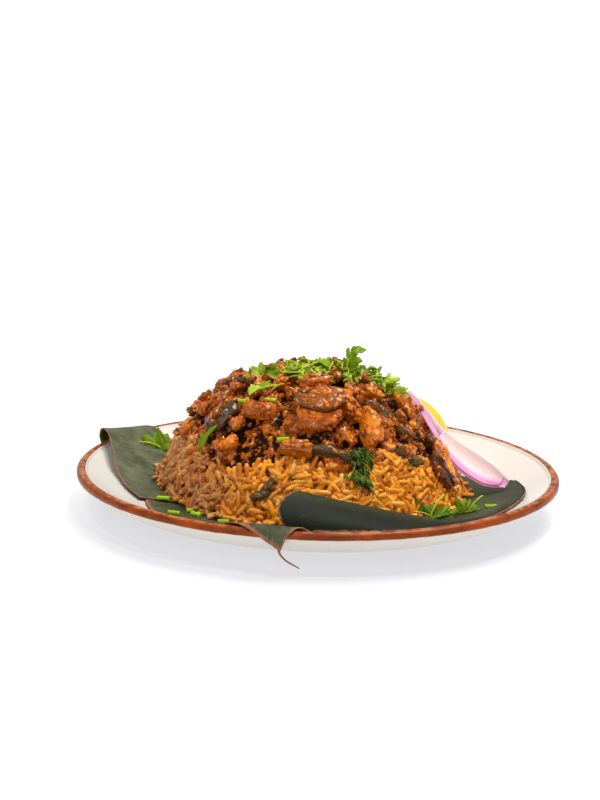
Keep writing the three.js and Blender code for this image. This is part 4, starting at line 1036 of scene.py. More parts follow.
def rice_grains():
    """Grains all over the heap up to the curry, and loose ones on the leaf and plate about its foot."""
    draw = np.random.default_rng(7)
    shapes = [grain_shape(0.1, 0.85, 0.34, 0.28), grain_shape(-0.16, 0.8, 0.28, 0.36),
              grain_shape(0.26, 0.9, 0.36, 0.28), grain_shape(0.0, 0.75, 0.22, 0.38),
              grain_shape(-0.06, 0.95, 0.38, 0.34)]
    shares = np.linspace(0.74, 1.0, 200)
    fall = np.hypot(np.gradient(shares) * 86, np.gradient(heap_top(shares)))
    way = np.cumsum(fall) / np.sum(fall)
    covering, loose = 2400, 150
    things = []
    while len(things) < covering:
        turn = draw.uniform(0, TAU)
        share = float(np.interp(draw.uniform(), way, shares))
        lower = 0.05 * max(math.exp(-((math.degrees(turn) - at) / wide) ** 2)
                           for at, wide in ((188, 20), (22, 24)))
        if share < curry_edge(turn) - 0.022 - lower:
            continue
        x, y = heap_at(share, turn)
        place, level, up, out = heap_spot(x, y, draw.uniform(-2.4, 0.4))
        drift = 1.6 * noise.noise(Vector(place) / 11) * math.pi + draw.normal(0, 0.8)
        basis = basis_turned(level, up, out, drift, math.radians(draw.normal(0, 12)), draw.normal(0, 0.9))
        size = (draw.uniform(7.4, 11.6), draw.uniform(2.8, 3.5), draw.uniform(2.5, 3.0))
        things.append((drawn_in(place), basis, size, int(draw.integers(0, len(shapes))),
                       {"stain": stain_at(x, place[2], draw), "shade": draw.uniform(0, 1)}))
    while len(things) < covering + loose:
        turn = draw.uniform(0, TAU)
        reach = 0.012 if abs(turn - math.radians(205)) < math.radians(38) else 0.026
        share = 0.99 + abs(draw.normal(0, reach))
        x, y, _ = drawn_in([*heap_at(share, turn), 0])
        height, normal = ground_at(x, y)
        if height > 24:
            continue
        normal = np.array(normal) * (1 if normal.z > 0 else -1)
        level = unit(np.cross(normal, [0.3, 0.9, 0.1]))
        basis = basis_turned(level, np.cross(normal, level), normal, draw.uniform(0, TAU),
                             math.radians(draw.normal(0, 5)), draw.uniform(*ANY_TURN))
        size = (draw.uniform(6.2, 9.4), draw.uniform(2.7, 3.2), draw.uniform(2.3, 2.8))
        lift = 1.1 + (draw.uniform(0, 2.4) if share < 1.02 else 0)
        things.append((np.array([x, y, height]) + normal * lift, basis, size, int(draw.integers(0, len(shapes))),
                       {"stain": stain_at(x, 8, draw), "shade": draw.uniform(0, 1)}))
    return strew("rice_grains", shapes, FINISH["rice"], things)


def rice_heap():
    """The body of the heap, painted dark as shade, which shows between the grains."""
    points, faces = heap_shell(lambda turn, share: rice_top(turn, share) - 2.6,
                               lambda turn, share: plate_top(np.hypot(*heap_at(share, turn))) + 3.8,
                               lambda turn: np.full_like(turn, 0.975), 46, 220)
    return turned_out(mesh_of("rice_heap", drawn_in(points), faces, FINISH["underneath"]))


piece(rice_heap(), "rice", "rice")
piece(rice_grains(), "rice", "rice")


# ---- Pieces in the curry ------------------------------------------------------------------

PIECES = [  # name, x, y, long, wide, tall, turn, kind
    ("aubergine_front", -0.4, -48, 23, 22, 15, 8, "aubergine"),
    ("aubergine_front_right", 27, -47.5, 21, 11.5, 12, 72, "aubergine"),
    ("aubergine_flap_left", -52.5, -33.5, 20, 13, 7, 80, "aubergine"),
    ("aubergine_low_right", 65.5, -31, 19, 11, 9, -62, "aubergine"),
    ("carrot_low", -11.4, -62, 20, 9, 9, -4, "carrot"),
    ("carrot_high", 8, -34.5, 22, 10, 8, -20, "carrot"),
    ("carrot_crown", -0.5, -24, 16, 7, 7, 6, "carrot"),
    ("carrot_left", -32, -42, 20, 9.5, 9, 4, "carrot"),
    ("skin_middle", 6.6, -62, 24, 7, 6, -14, "peel"),
    ("skin_high_right", 32, -33, 17, 6, 5, -40, "peel"),
    ("skin_low_right", 48.5, -43.5, 20, 8, 6, -34, "peel"),
    ("skin_in_rice", -27.5, -70.5, 16, 7, 5, 45, "peel"),
    ("aubergine_back_left", -46, 55, 24, 18, 12, 30, "aubergine"),
    ("aubergine_back", 6, 52, 25, 19, 13, -15, "aubergine"),
    ("carrot_back", -22, 55, 19, 9, 8, 25, "carrot"),
]
SLOTS = {"aubergine": "aubergine", "carrot": "carrot", "peel": "aubergine_skin"}
LOOKS = {"aubergine_flap_left": "aubergine_skin_side", "aubergine_low_right": "aubergine_browned",
         "aubergine_front_right": "golden_flesh"}


def lump_waves(points, seed):
    """Slow waves over a ball, about -2 to 2."""
    x, y, z = points.T
    return np.sin(2.7 * x + seed) * np.sin(3.1 * y + 1.7 * seed) + np.sin(3.7 * z + 2.3 * seed)


def ball(detail):
    """The points and faces of a ball 1 in radius."""
    work = bmesh.new()
    bmesh.ops.create_icosphere(work, subdivisions=detail, radius=1)
    points = np.array([v.co for v in work.verts])
    faces = [[v.index for v in f.verts] for f in work.faces]
    work.free()
    return points, faces


def stewed_piece(order, long, wide, tall, kind):
    """A soft cooked piece about its own middle, with its peel marked."""
    seed = order * 1.7 + 0.4
    if kind == "peel":
        return curled_strip(order, long, wide, tall)
    points, faces = ball(5 if long * wide > 300 else 4)
    x, y, z = points.T
    square = {"aubergine": 0.8, "carrot": 0.78}[kind]
    shape = np.sign(points) * np.abs(points) ** square
    shape = shape / np.max(np.abs(shape), axis=0)
    grow = 1 + 0.08 * lump_waves(points, seed)
    if kind == "aubergine":  # a soft slab folded over itself, its upper half a hood over the lower
        crease = y + 0.2 - 0.34 * x * x + 0.14 * np.sin(2.6 * x + seed)
        peel = ease(-0.01, 0.03, crease)
        grow = grow + 0.2 * peel * ease(1.0, 0.2, crease)
        grow = grow - 0.22 * np.exp(-(((crease + 0.06) / 0.07) ** 2)) * ease(-0.3, 0.3, z)
        if "flap" in PIECES[order][0]:
            grow, peel = 1 + 0.1 * lump_waves(points, seed), 1 + 0 * x
    else:  # a thick slice, bent, cut off square at one end
        peel = 0 * x
        shape[:, 0] = np.minimum(shape[:, 0], 0.86 + 0.05 * y)
        shape[:, 1] = shape[:, 1] + 0.3 * (x * x - 0.4) * (1 if order % 2 else -1)
        shape[:, 2] = shape[:, 2] * (1 - 0.25 * ease(0.2, 0.9, y * (1 if order % 2 else -1)))
    shape = shape * grow[:, None] * np.array([long, wide, tall]) / 2
    coarse = roughness_at(shape, 6.0, order)
    fine = roughness_at(shape, 2.2, order + 40)
    amount = {"aubergine": (1.3, 0.7), "carrot": (1.2, 0.6)}[kind]
    shape = shape + points * (amount[0] * coarse + amount[1] * fine)[:, None]
    uv = np.stack([x * 0.5 + 0.5, np.arctan2(z, y) / 6.28 + 0.5], -1)
    # fold marks the painted shadow line under the hood, which the finish paints near black.
    fold = np.exp(-(((crease + 0.07) / 0.08) ** 2)) if kind == "aubergine" and np.ptp(peel) else 0 * x
    return shape, faces, uv, {"peel": peel, "fold": fold}


def curled_strip(order, long, wide, tall):
    """A strip of peel with a little flesh on it, curled across and bent along."""
    rows, columns = 60, 26
    u, v = sheet(rows, columns, (-1, 1), (-1, 1))
    spot = np.stack([u * 2.2, v * 0.8, 0 * u], -1).reshape(-1, 3)
    ragged = roughness_at(spot, 0.8, order).reshape(rows, columns)
    narrow = (1 - 0.45 * np.abs(u) ** 2.5) * (1 + 0.16 * ragged)
    x = u * long / 2 * (1 + 0.04 * ragged)
    y = v * wide / 2 * narrow + 0.12 * wide * np.sin(2.2 * u + order)
    z = tall * (0.32 - 0.62 * v * v - 0.22 * u * u + 0.12 * ragged + 0.1 * np.sin(3 * u + 2 * v + order))
    points, faces = thin_solid(np.stack([x, y, z], -1), 1.5)
    uv = np.stack([u * 0.5 + 0.5, v * 0.5 + 0.5], -1).reshape(-1, 2)
    rim = np.tile(ease(0.62, 0.95, np.abs(v)).ravel(), 2)
    return points, faces, np.vstack([uv, uv]), {"peel": 1 - rim, "fold": 0 * rim}


chunk_solids, chunk_skins = [], []
for order, (name, x, y, long, wide, tall, turn, kind) in enumerate(PIECES):
    shape, faces, uv, marks = stewed_piece(order, long, wide, tall, kind)
    place, level, up, out = heap_spot(x, y, tall * 0.12)
    basis = np.array(basis_turned(level, up, out, math.radians(turn)))
    points = shape @ basis.T + place
    chunk_solids.append((place, basis, np.array([long, wide, tall]) / 2))
    chunk_skins.append((points, faces))
    made = turned_out(mesh_of("stewed_" + name, points, faces, FINISH[LOOKS.get(name, kind)], uv, marks))
    piece(made, SLOTS[kind], name)


def small_pieces():
    """Broken bits of the same vegetables, between the larger pieces."""
    draw = np.random.default_rng(77)
    lots = {look: Lot() for look in ("golden_flesh", "aubergine", "aubergine_skin_side", "carrot")}
    round_, faces = ball(4)
    tries = 96
    for k in range(tries):
        turn, share = SPIRAL * k + draw.normal(0, 0.25), math.sqrt((k + 0.5) / tries)
        x, y = heap_at((curry_edge(turn) - 0.03) * share, turn)
        long, wide, tall = draw.uniform(6, 12), draw.uniform(4, 6.5), draw.uniform(3.5, 6)
        look = str(draw.choice(list(lots), p=[0.22, 0.34, 0.24, 0.2]))
        place, level, up, out = heap_spot(x, y, draw.uniform(-1.6, 0.4))
        crowded = any(math.dist(place, solid[0]) < max(solid[2]) + 3 for solid in chunk_solids)
        if crowded or beside_garnish(place, 6):
            continue
        shape = np.sign(round_) * np.abs(round_) ** 0.75 * np.array([long, wide, tall]) / 2
        rough = 1.5 * roughness_at(shape, 4.5, k) + 0.5 * roughness_at(shape, 1.6, k + 30)
        shape = shape + round_ * rough[:, None]
        basis = np.array(basis_turned(level, up, out, draw.uniform(*ANY_TURN), draw.normal(0, 0.25),
                                      draw.normal(0, 0.25)))
        peel = ease(0.1, 0.3, round_[:, 1] + 0.3 * np.sin(3 * round_[:, 0] + k))
        lots[look].add(shape @ basis.T + place, faces, round_[:, :2] * 0.5 + 0.5, peel=peel, fold=0.0)
    for look, lot in lots.items():
        chunk_skins.append(lot.skin())
        piece(turned_out(lot.mesh("bits_of_" + look, FINISH[look])), "carrot" if look == "carrot" else "aubergine")


# Where the onion and the lemon lie, which the curry's lumps and crumbs keep clear of.
ONION_LINE = [(49.5, -4, 67), (58, -3, 56.5), (65.5, -2, 46), (74, -1, 35.5), (84.5, -4, 27.5), (95.5, -9, 21.7),
              (105.5, -14, 17.9)]
ONION_WIDE = [2.5, 5.5, 7.5, 12.5, 15.5, 14.5, 5]
LEMON_CORE, LEMON_HALF, LEMON_RADIUS = (52.4, 37.6, 31.4), 29, 23
LEMON_LONG = unit(np.array([0.69, 0.02, -0.725]))
LEMON_OUT = np.array([0.56, -0.42, 0.6])
LEMON_OUT = unit(LEMON_OUT - LEMON_LONG * (LEMON_OUT @ LEMON_LONG))


# ---- Mince and sauce ----------------------------------------------------------------------

def beside_garnish(place, size):
    """Whether a lump of this size would crowd the onion or the lemon."""
    line = line_through(ONION_LINE, np.linspace(0, 1, 24))
    wide = np.interp(np.linspace(0, 1, 24), np.linspace(0, 1, 7), ONION_WIDE) / 2
    behind = 3 * ease(-12, 2, place[1])
    onion = np.min(np.linalg.norm(line - place, axis=1) - wide) - behind
    off = np.asarray(place) - LEMON_CORE
    lemon = np.linalg.norm(off - LEMON_LONG * np.clip(off @ LEMON_LONG, -22, 20)) - LEMON_RADIUS
    if off @ LEMON_OUT < -0.8 * size:
        lemon = 99
    return min(onion, lemon) < size * 0.6


PITS = [(-18.1, -46.7, 62, 5.5), (-16.7, -42.6, 65.6, 4.5), (-8.7, -57.4, 52.4, 5), (-63.6, -33, 45.7, 5),
        (-45.6, -46, 50.9, 4.5), (-34.6, -60.1, 40.5, 4.5), (-21, -60.9, 45.4, 4), (9, -50, 60, 2.5),
        (30, 10, 73, 5), (-50, 20, 60, 5), (20, 55, 55, 5), (55, 18, 52, 4.5), (-20, 48, 62, 5)]


def in_a_pit(place, near=1.0):
    return any(math.dist(place, pit[:3]) < pit[3] * near for pit in PITS)


def in_a_chunk(place, grow=1.0):
    nearby = ((place - middle) @ basis / (half * grow) for middle, basis, half in chunk_solids)
    return any(near @ near < 1 for near in nearby)


def curry_lumps(lot, tones):
    """The big lumps of the solids, and more between them."""
    throw = dice(5)
    golden = math.pi * (3 - math.sqrt(5))
    big, small, more = 25, 12, 120
    spots = []
    for i in range(big + small):
        share = (i + 0.5) / big if i < big else (i - big + 0.5) / small
        turn = golden * i + (0 if i < big else 1.3)
        r = (curry_edge(turn) - 0.035) * share**0.42
        size = mix(4.6, 8, throw()) if i < big else mix(2.1, 3.4, throw())
        spots.append((r, turn, size * mix(1, 1.4, throw()), size, 360 * throw(), -2.4 if i < big else -1.1, i))
    draw = np.random.default_rng(12)
    for k in range(more):
        r = (curry_edge(golden * k) - 0.02) * math.sqrt((k + 0.5) / 95)
        size = draw.uniform(2.6, 5.0)
        spots.append((r, golden * k + 0.4, size * draw.uniform(1, 1.5), size, draw.uniform(0, 360),
                      draw.uniform(-3.2, -1.4), k + 50))
    points, faces = ball(3)
    for r, turn, long, size, face, lift, seed in spots:
        x, y = heap_at(r, turn)
        place, level, up, out = heap_spot(x, y, lift)
        if beside_garnish(place, size) or seed >= 50 and (
                noise.noise(Vector(place) / 13) < -0.12 or in_a_pit(place, 1.5)):
            continue
        rough = 1 + 0.1 * lump_waves(points, seed) + 0.34 * roughness_at(points, 0.6, seed, 4)
        shape = points * rough[:, None] * np.array([long, size, size * 0.75])
        basis = np.array(basis_turned(level, up, out, math.radians(face)))
        lot.add(shape @ basis.T + place, faces)
        tones.append((place, draw.uniform(0.15, 0.95)))


def curry_cap():
    """The sauce itself, as a wavy cap over the rice."""
    def top(turn, share):
        waves = 1.2 * np.sin(4 * turn + 9 * share) + 0.9 * np.sin(7 * turn - 6 * share)
        return heap_top(share) - CAP_SUNK + waves * share * (1 - 0.6 * share)
    return heap_shell(top, lambda turn, share: heap_top(share) - CAP_DEEP, lambda turn: curry_edge(turn) - 0.012,
                      30, 160)


def crumb_shape(seed, sides=6):
    """A jagged crumb of mince, about 1 in half size, of four dozen faces."""
    draw = np.random.default_rng(seed)
    turn = np.linspace(0, TAU, sides, endpoint=False)
    rings = [[(r * math.cos(a), r * math.sin(a), z) for a in turn]
             for r, z in ((0.62, -0.75), (1, -0.28), (0.98, 0.3), (0.6, 0.78))]
    points = np.vstack([*rings, [(0, 0, -1), (0, 0, 1)]])
    points = points * (1 + draw.normal(0, 0.2, (len(points), 1))) * np.array([1.25, 0.85, 0.7])
    faces = grid(4, sides, wrap=True)
    for k in range(sides):
        after = (k + 1) % sides
        faces += [[after, 4 * sides, k], [3 * sides + k, 4 * sides + 1, 3 * sides + after]]
    return points, [f[::-1] for f in faces], np.zeros((len(points), 2)), {}


def crumbs_over(name, count, sizes, chances, skins, seed, on_chunks):
    """Crumbs dropped on skins from outside the heap, each resting where it lands."""
    under = target(skins)
    draw = np.random.default_rng(seed)
    things = []
    while len(things) < count:
        turn, spread = draw.uniform(0, TAU), math.sqrt(draw.uniform())
        x, y = heap_at((curry_edge(turn) + 0.02) * spread ** 0.85, turn)
        place, level, up, out = heap_spot(x, y, 14)
        hit = under.ray_cast(Vector(place), Vector(-out), 30)
        if hit[0] is None:
            continue
        spot = np.array(hit[0])
        size = draw.choice(sizes, p=chances) * draw.uniform(0.8, 1.2)
        if (in_a_chunk(spot, 1.02) and draw.uniform() > on_chunks or beside_garnish(spot, size)
                or in_a_pit(spot, 1.3)):
            continue
        basis = basis_turned(level, up, out, draw.uniform(*ANY_TURN), draw.uniform(-0.5, 0.5),
                             draw.uniform(*ANY_TURN))
        things.append((spot + out * size * 0.02, basis, size, int(draw.integers(0, 6)),
                       {"tone": float(draw.beta(1.6, 1.6)), "hollow": float(draw.uniform(0.6, 0.95))}))
    return strew(name, [crumb_shape(k + 3) for k in range(6)], FINISH["mince"], things), things


def curry_body():
    """Cap, lumps and the bigger crumbs, run together as the sauce does."""
    lot, tones = Lot(), []
    lot.add(*curry_cap())
    curry_lumps(lot, tones)
    skins = [lot.skin()]
    crumbs, things = crumbs_over("mince_clots", 1500, [1.5, 2.1, 2.8], [0.4, 0.4, 0.2], skins, 19, 0.1)
    tones += [(thing[0], thing[4]["tone"]) for thing in things]
    whole = object_of(lot.mesh("curry_whole"))
    loose = object_of(crumbs)
    both = [whole, loose]
    with bpy.context.temp_override(active_object=whole, selected_editable_objects=both, selected_objects=both):
        bpy.ops.object.join()
    remesh = whole.modifiers.new("run_together", "REMESH")
    remesh.mode, remesh.voxel_size = "VOXEL", 1.08 * MM
    return crumbled(evaluated(whole), "mince_and_sauce"), tones


def crumbled(mesh, name):
    """The rule for broken-up mince: clots pushed in and out, and rounded crumbs all over them."""
    rule = Rule("crumbled", {"Clot Size": 5.0 * MM, "Clot Depth": 1.5 * MM, "Crumb Size": 2.6 * MM,
                             "Crumb Depth": 1.3 * MM, "Sauce": FINISH["mince"]})
    here, facing = rule.node("GeometryNodeInputPosition"), rule.node("GeometryNodeInputNormal")
    clots = rule.node("ShaderNodeTexNoise", {}, {
        "Vector": here, "Scale": 1 / rule.size("Clot Size"), "Detail": 3.0, "Roughness": 0.6})
    wander = rule.node("ShaderNodeTexNoise", {}, {"Vector": here, "Scale": 400.0, "Detail": 2.0}, 1)
    crumbs = rule.node("ShaderNodeTexVoronoi", {}, {
        "Vector": rule.vector("ADD", here, rule.scaled(wander, rule.size("Crumb Size"))),
        "Scale": 1 / rule.size("Crumb Size")}, "Distance")
    rise = (clots - 0.5) * 2 * rule.size("Clot Depth") + (0.42 - crumbs) * rule.size("Crumb Depth")
    rule.ends_in(rule.node("GeometryNodeSetPosition", {}, {
        "Geometry": rule.size("Geometry"), "Offset": rule.scaled(facing, rise)}), "Sauce")
    return rule.grow(mesh, name)


def hollows(points, edges, normals, rounds=26):
    """How deep each point lies under its smoothed surroundings: 0 in a hollow, 1 on a crest."""
    count = np.bincount(edges.ravel(), minlength=len(points))[:, None].clip(1)
    smooth = points.copy()
    for _ in range(rounds):
        total = np.zeros_like(smooth)
        for axis in range(3):
            total[:, axis] = (np.bincount(edges[:, 0], smooth[edges[:, 1], axis], len(points))
                              + np.bincount(edges[:, 1], smooth[edges[:, 0], axis], len(points)))
        smooth = 0.5 * smooth + 0.5 * total / count
    proud = np.sum((points - smooth) * normals, 1)
    return np.clip(0.5 + proud / (4 * MM) * 1.6, 0, 1)


def settled(points):
    """The curry lies a little closer on the heap than its lumps would, most at its left and its far right."""
    off, turn = about_heap(points[:, 0], points[:, 1])
    share = heap_share(points[:, 0], points[:, 1])
    left, right = np.exp(-(((turn - 198) / 34) ** 2)), np.exp(-(((turn - 22) / 24) ** 2))
    pull = 0.018 * ease(0.3, 0.8, share) + (0.045 * left + 0.05 * right) * ease(0.4, 0.85, share)
    across = (HEAP_X, HEAP_Y) + off * (1 - pull)[:, None]
    return np.column_stack([across, points[:, 2] - 1.3 * ease(0.95, 0.7, share)])


def read(items, entry, width, kind=float):
    """One entry of all of a mesh's items, a row for each."""
    values = np.empty(len(items) * width, kind)
    items.foreach_get(entry, values)
    return values.reshape(-1, width)


def dressed_curry():
    """The curry's mesh, with each point's hollow and the tone of the lump or crumb nearest to it."""
    made, tones = curry_body()
    points, normals = read(made.vertices, "co", 3), read(made.vertices, "normal", 3)
    hollow = hollows(points, read(made.edges, "vertices", 2, int), normals)
    mm = (points - MIDDLE) / MM
    below = heap_top(heap_share(mm[:, 0], mm[:, 1])) - mm[:, 2]
    # Points well under the heap's surface count as deeper hollow, so the finish paints them darker as shade.
    hollow = hollow * mix(1, 0.1, ease(4.0, 7.5, below))
    made.vertices.foreach_set("co", (settled(mm) * MM + MIDDLE).ravel())
    tree = kdtree.KDTree(len(tones))
    for k, (spot, _) in enumerate(tones):
        tree.insert(spot, k)
    tree.balance()
    tone = np.array([tones[tree.find(p)[1]][1] for p in mm])
    for label, values in (("hollow", hollow), ("tone", tone)):
        if label in made.attributes:
            made.attributes.remove(made.attributes[label])
        made.attributes.new(label, "FLOAT", "POINT").data.foreach_set("value", values)
    made.materials.clear()
    made.materials.append(FINISH["mince"])
    made.shade_smooth()
    return made


small_pieces()
curry = dressed_curry()
curry_points = np.array([(v.co - Vector(MIDDLE)) / MM for v in curry.vertices])
curry_faces = [list(p.vertices) for p in curry.polygons]
crumbs, _ = crumbs_over("mince_crumbs", 2600, [0.6, 0.9, 1.3, 1.8], [0.25, 0.35, 0.25, 0.15],
                        [(curry_points, curry_faces), *chunk_skins], 29, 0.08)
piece(curry, "curry", "curry")
piece(turned_out(crumbs), "curry", "curry")

for x, y, turn in ((-41, -32, 8), (-37.5, -34.5, -30), (-26, -37.8, 2), (-18.4, -58, 8), (-9, -17, -8),
                   (4, -16, 10)):
    add_chive(*on_heap(x, y, turn, 0.3), radius=draw.uniform(1.0, 1.3), long=draw.uniform(5.5, 7),
              tint=draw.uniform(0.35, 0.8))
piece(turned_out(chives.mesh("chive_snips", FINISH["chive"])), "coriander")


# ---- Coriander ----------------------------------------------------------------------------

def herb_leaf(seed, spokes=27, rings=5, curl=0.2, droop=0.25, fold=0.3, thick=0.022, deep=0.6):
    """A coriander leaf 1 long, its stalk end at the origin: three toothed lobes on a wedge."""
    draw = np.random.default_rng(seed)
    turn = np.radians(np.linspace(-82, 82, spokes))
    lobes = np.zeros(spokes)
    for at, tall, wide in ((-52, 0.82, 21), (0, 1.0, 22), (52, 0.8, 21)):
        at, tall = at + draw.normal(0, 4), tall * draw.uniform(0.9, 1.05)
        lobes = np.maximum(lobes, tall * np.exp(-np.abs((np.degrees(turn) - at) / wide) ** 2.6))
    reach = (1 - deep) + deep * lobes
    reach = reach + 0.07 * np.cos(np.arange(spokes) * 2.1 + seed) * lobes
    reach = reach * mix(0.55, 1, ease(82, 60, np.abs(np.degrees(turn))))
    part = np.linspace(0.04, 1, rings)[:, None]
    x, y = part * reach * np.cos(turn), part * reach * np.sin(turn) * 0.95
    z = curl * x - droop * x**2 - fold * np.abs(y) ** 1.5 + 0.05 * np.sin(9 * y + seed) * part
    points, faces = thin_solid(np.stack([x, y, z], -1), thick)
    uv = np.stack(sheet(rings, spokes, (0.04, 1)), -1).reshape(-1, 2)
    return points, faces, np.vstack([uv, uv]), {"stalk": 0.0}


def leaflet(seed, wide=0.3, curl=0.15, droop=0.3, fold=0.5, thick=0.026, rows=10, columns=5):
    """A single pointed leaflet 1 long, toothed along its sides and folded about its midrib."""
    u, v = sheet(rows, columns, (0.02, 1), (-1, 1))
    teeth = 1 + 0.14 * np.sin(19 * u + seed) * np.abs(v)
    half = wide * (np.sin(math.pi * np.clip(u, 0, 1) ** 0.75) ** 0.8 + 0.04) * teeth
    y = half * v + 0.07 * np.sin(3 * u + seed)
    z = curl * u - droop * u**2 + fold * np.abs(half * v) + 0.03 * np.sin(11 * u + 5 * v + seed)
    points, faces = thin_solid(np.stack([u, y, z], -1), thick)
    uv = np.stack([u, v * 0.5 + 0.5], -1).reshape(-1, 2)
    return points, faces, np.vstack([uv, uv]), {"stalk": 0.0}


def herb_stalk(bend):
    t = np.linspace(0, 1, 7)
    return *tube(np.stack([t, 0 * t, bend * np.sin(math.pi * t)], -1), 0.036, 6), {"stalk": 1.0}


# 0 and 2 are lobed leaves, 1, 3 and 4 leaflets, 5 and 6 stalks, and 7 a narrow leaf
HERB_SHAPES = [
    herb_leaf(1, 19, 3), leaflet(2, wide=0.3, droop=0.5), herb_leaf(3, 19, 3, curl=0.0, droop=-0.2),
    leaflet(4, wide=0.2, curl=0.4, droop=0.8), leaflet(5, wide=0.36, fold=0.9), herb_stalk(0.05),
    herb_stalk(0.14), leaflet(6, wide=0.13, curl=0.1, droop=0.1, fold=0.4, rows=14)]


def aimed(way, face):
    """Directions of a shape whose length points one way and whose upper side faces another."""
    along = Vector(way).normalized()
    face = Vector(face)
    up = (face - along * face.dot(along)).normalized()
    return Matrix((along, up.cross(along), up)).transposed()


def crown_of_coriander():
    draw = np.random.default_rng(23)
    things, count = [], 400
    for k in range(count):
        a, spread = SPIRAL * k, math.sqrt((k + 0.5) / count)
        x = 11 + 36 * spread * math.cos(a) + draw.normal(0, 2)
        y = 7 + 15 * spread * math.sin(a) + draw.normal(0, 2) - 9 * ease(20, 48, x)
        place, level, up, out = heap_spot(x, y, draw.uniform(-1.2, 1.8))
        stalk = draw.uniform() < 0.3
        basis = basis_turned(level, up, out, draw.uniform(*ANY_TURN), math.radians(draw.normal(-4, 14)),
                             math.radians(draw.normal(0, 30)))
        long = draw.uniform(3.6, 8.5) if not stalk else draw.uniform(5, 11)
        pick = int(draw.integers(5, 7)) if stalk else int(draw.integers(0, 5))
        things.append((place, basis, long, pick, {"tint": draw.uniform(0.0, 1.0) ** (0.6 if stalk else 1.1)}))
    for place, way, face, long, pick in (
        ((14.5, 1, 73.0), (0.1, 0.0, 1.0), (-0.7, -1, 0.1), 11, 5),
        ((15.5, 1, 78.0), (0.25, 0.0, 1.0), (-0.7, -1, 0.1), 8.5, 2),
        ((15.5, 1, 82.5), (0.62, 0.0, 0.8), (-0.6, -1, 0.5), 9.5, 0),
        ((17.0, 1, 87.0), (0.9, 0.0, 0.4), (-0.3, -1, 0.6), 8.5, 1),
        ((-33, -8, 73.0), (-0.9, -0.1, 0.15), (0, -1, 0.7), 9, 0),
        ((-22, -9, 73.5), (-0.6, -0.1, 0.3), (0.1, -1, 0.6), 8, 4),
        ((-17, -8, 74.0), (0.7, -0.1, 0.1), (-0.1, -1, 0.6), 11, 6),
        ((-31, -4, 75.0), (-0.7, -0.1, 0.35), (0, -1, 0.6), 8, 0),
        ((-26, -5, 75.5), (-0.2, -0.2, 0.5), (0.2, -1, 0.5), 7, 2),
        ((-24, -5, 75.5), (0.9, -0.2, 0.1), (0.2, -1, 0.5), 13, 5),
        ((-38, -6, 73.5), (-0.15, -0.1, 0.8), (0.2, -1, 0.5), 6, 7),
        ((34, -7, 71.5), (0.7, 0.1, -0.3), (0.2, -1, 0.6), 9, 1),
        ((40, -9, 68.5), (0.8, 0.1, -0.5), (0.2, -1, 0.6), 10, 4),
        ((37, -5, 71), (0.6, 0, 0.3), (-0.2, -1, 0.4), 8, 0),
        ((44, -10, 65), (0.5, 0, -0.3), (0.1, -1, 0.4), 9, 1),
        ((42, -6, 67.5), (0.9, -0.1, -0.35), (0.1, -1, 0.4), 9, 7),
    ):
        tint = draw.uniform(0.3, 0.6) + 0.35 * (place[0] > 33)
        things.append((np.array(place), aimed(way, face), long, pick, {"tint": tint}))
    return strew("coriander_crown_leaves", HERB_SHAPES, FINISH["herb"], things)


piece(turned_out(crown_of_coriander()), "coriander", "coriander_crown")


def sprig(name, node, finish, parts):
    """A few leaves and stalks: (place, way, face, long, pick, tint) each."""
    things = [(np.array(place), aimed(way, face), long, pick, {"tint": tint})
              for place, way, face, long, pick, tint in parts]
    piece(turned_out(strew(name, HERB_SHAPES, FINISH[finish], things)), "coriander", node)


for name, spots in (
    ("high_left", ((-37.4, -31.5, 62, 9, 4, 0.85), (-33.6, -25, 35, 8, 0, 0.3), (-36, -29, 40, 14, 5, 0.5),
                   (-30, -23, 25, 5, 2, 0.5), (-25.4, -32, 62, 8, 6, 0.8))),
    ("low_left", ((-62.8, -41.5, 70, 17, 7, 0.4), (-61.8, -39, 120, 5, 2, 0.35), (-63, -42, 250, 4, 5, 0.8))),
):
    parts = []
    for x, y, turn, *kind in spots:
        parts.append((*on_heap(x, y, turn, 1.8), *kind))
    sprig(f"coriander_sprig_{name}", f"coriander_{name}", "herb", parts)

strands = []
draw = np.random.default_rng(41)
for k in range(54):
    x, y = 22.5 + draw.normal(0, 3.2), draw.uniform(-67, -56)
    place, way, out = on_heap(x, y, 90 + draw.normal(0, 26), draw.uniform(1.2, 3.2))
    if k < 12:
        kind = (-way + out * 0.1, out, draw.uniform(6, 10), int(draw.integers(5, 7)), draw.uniform(0.1, 0.7))
    else:
        kind = (-way + out * draw.uniform(0, 0.5), out, draw.uniform(2.6, 5.5), int(draw.choice([0, 2, 3, 7])),
                draw.uniform(0, 0.8))
    strands.append((place, *kind))
sprig("coriander_strands", "coriander_low_front", "dark_herb", strands)

for name, x, y, long, seed in (("left", -94, 56, 26, 51), ("right", 63, -59, 22, 52),
                               ("far_right", 79, -50, 18, 53)):
    draw = np.random.default_rng(seed)
    parts = []
    for turn, rise, pick, size in ((15, 0.3, 0, 0.5), (160, 0.6, 2, 0.5), (60, 0.9, 0, 0.42), (120, 0.9, 7, 0.6),
                                   (200, 0.15, 6, 0.6), (30, 0.55, 6, 0.7), (-20, 0.1, 7, 0.6)):
        a = math.radians(turn + draw.normal(0, 12))
        way = np.array([math.cos(a), 0.4 * math.sin(a), rise + 0.15])
        place = np.array([x + draw.normal(0, 2.2), y + draw.normal(0, 1.5), rest_on(x, y, LEAF_UPPER) + 0.8])
        parts.append((place, way, (-0.3, -0.6, 0.8), long * size, pick, draw.uniform(0.0, 0.4)))
    sprig(f"coriander_sprig_{name}", f"coriander_beside_{name}", "herb", parts)


# ---- Onion and lemon ----------------------------------------------------------------------

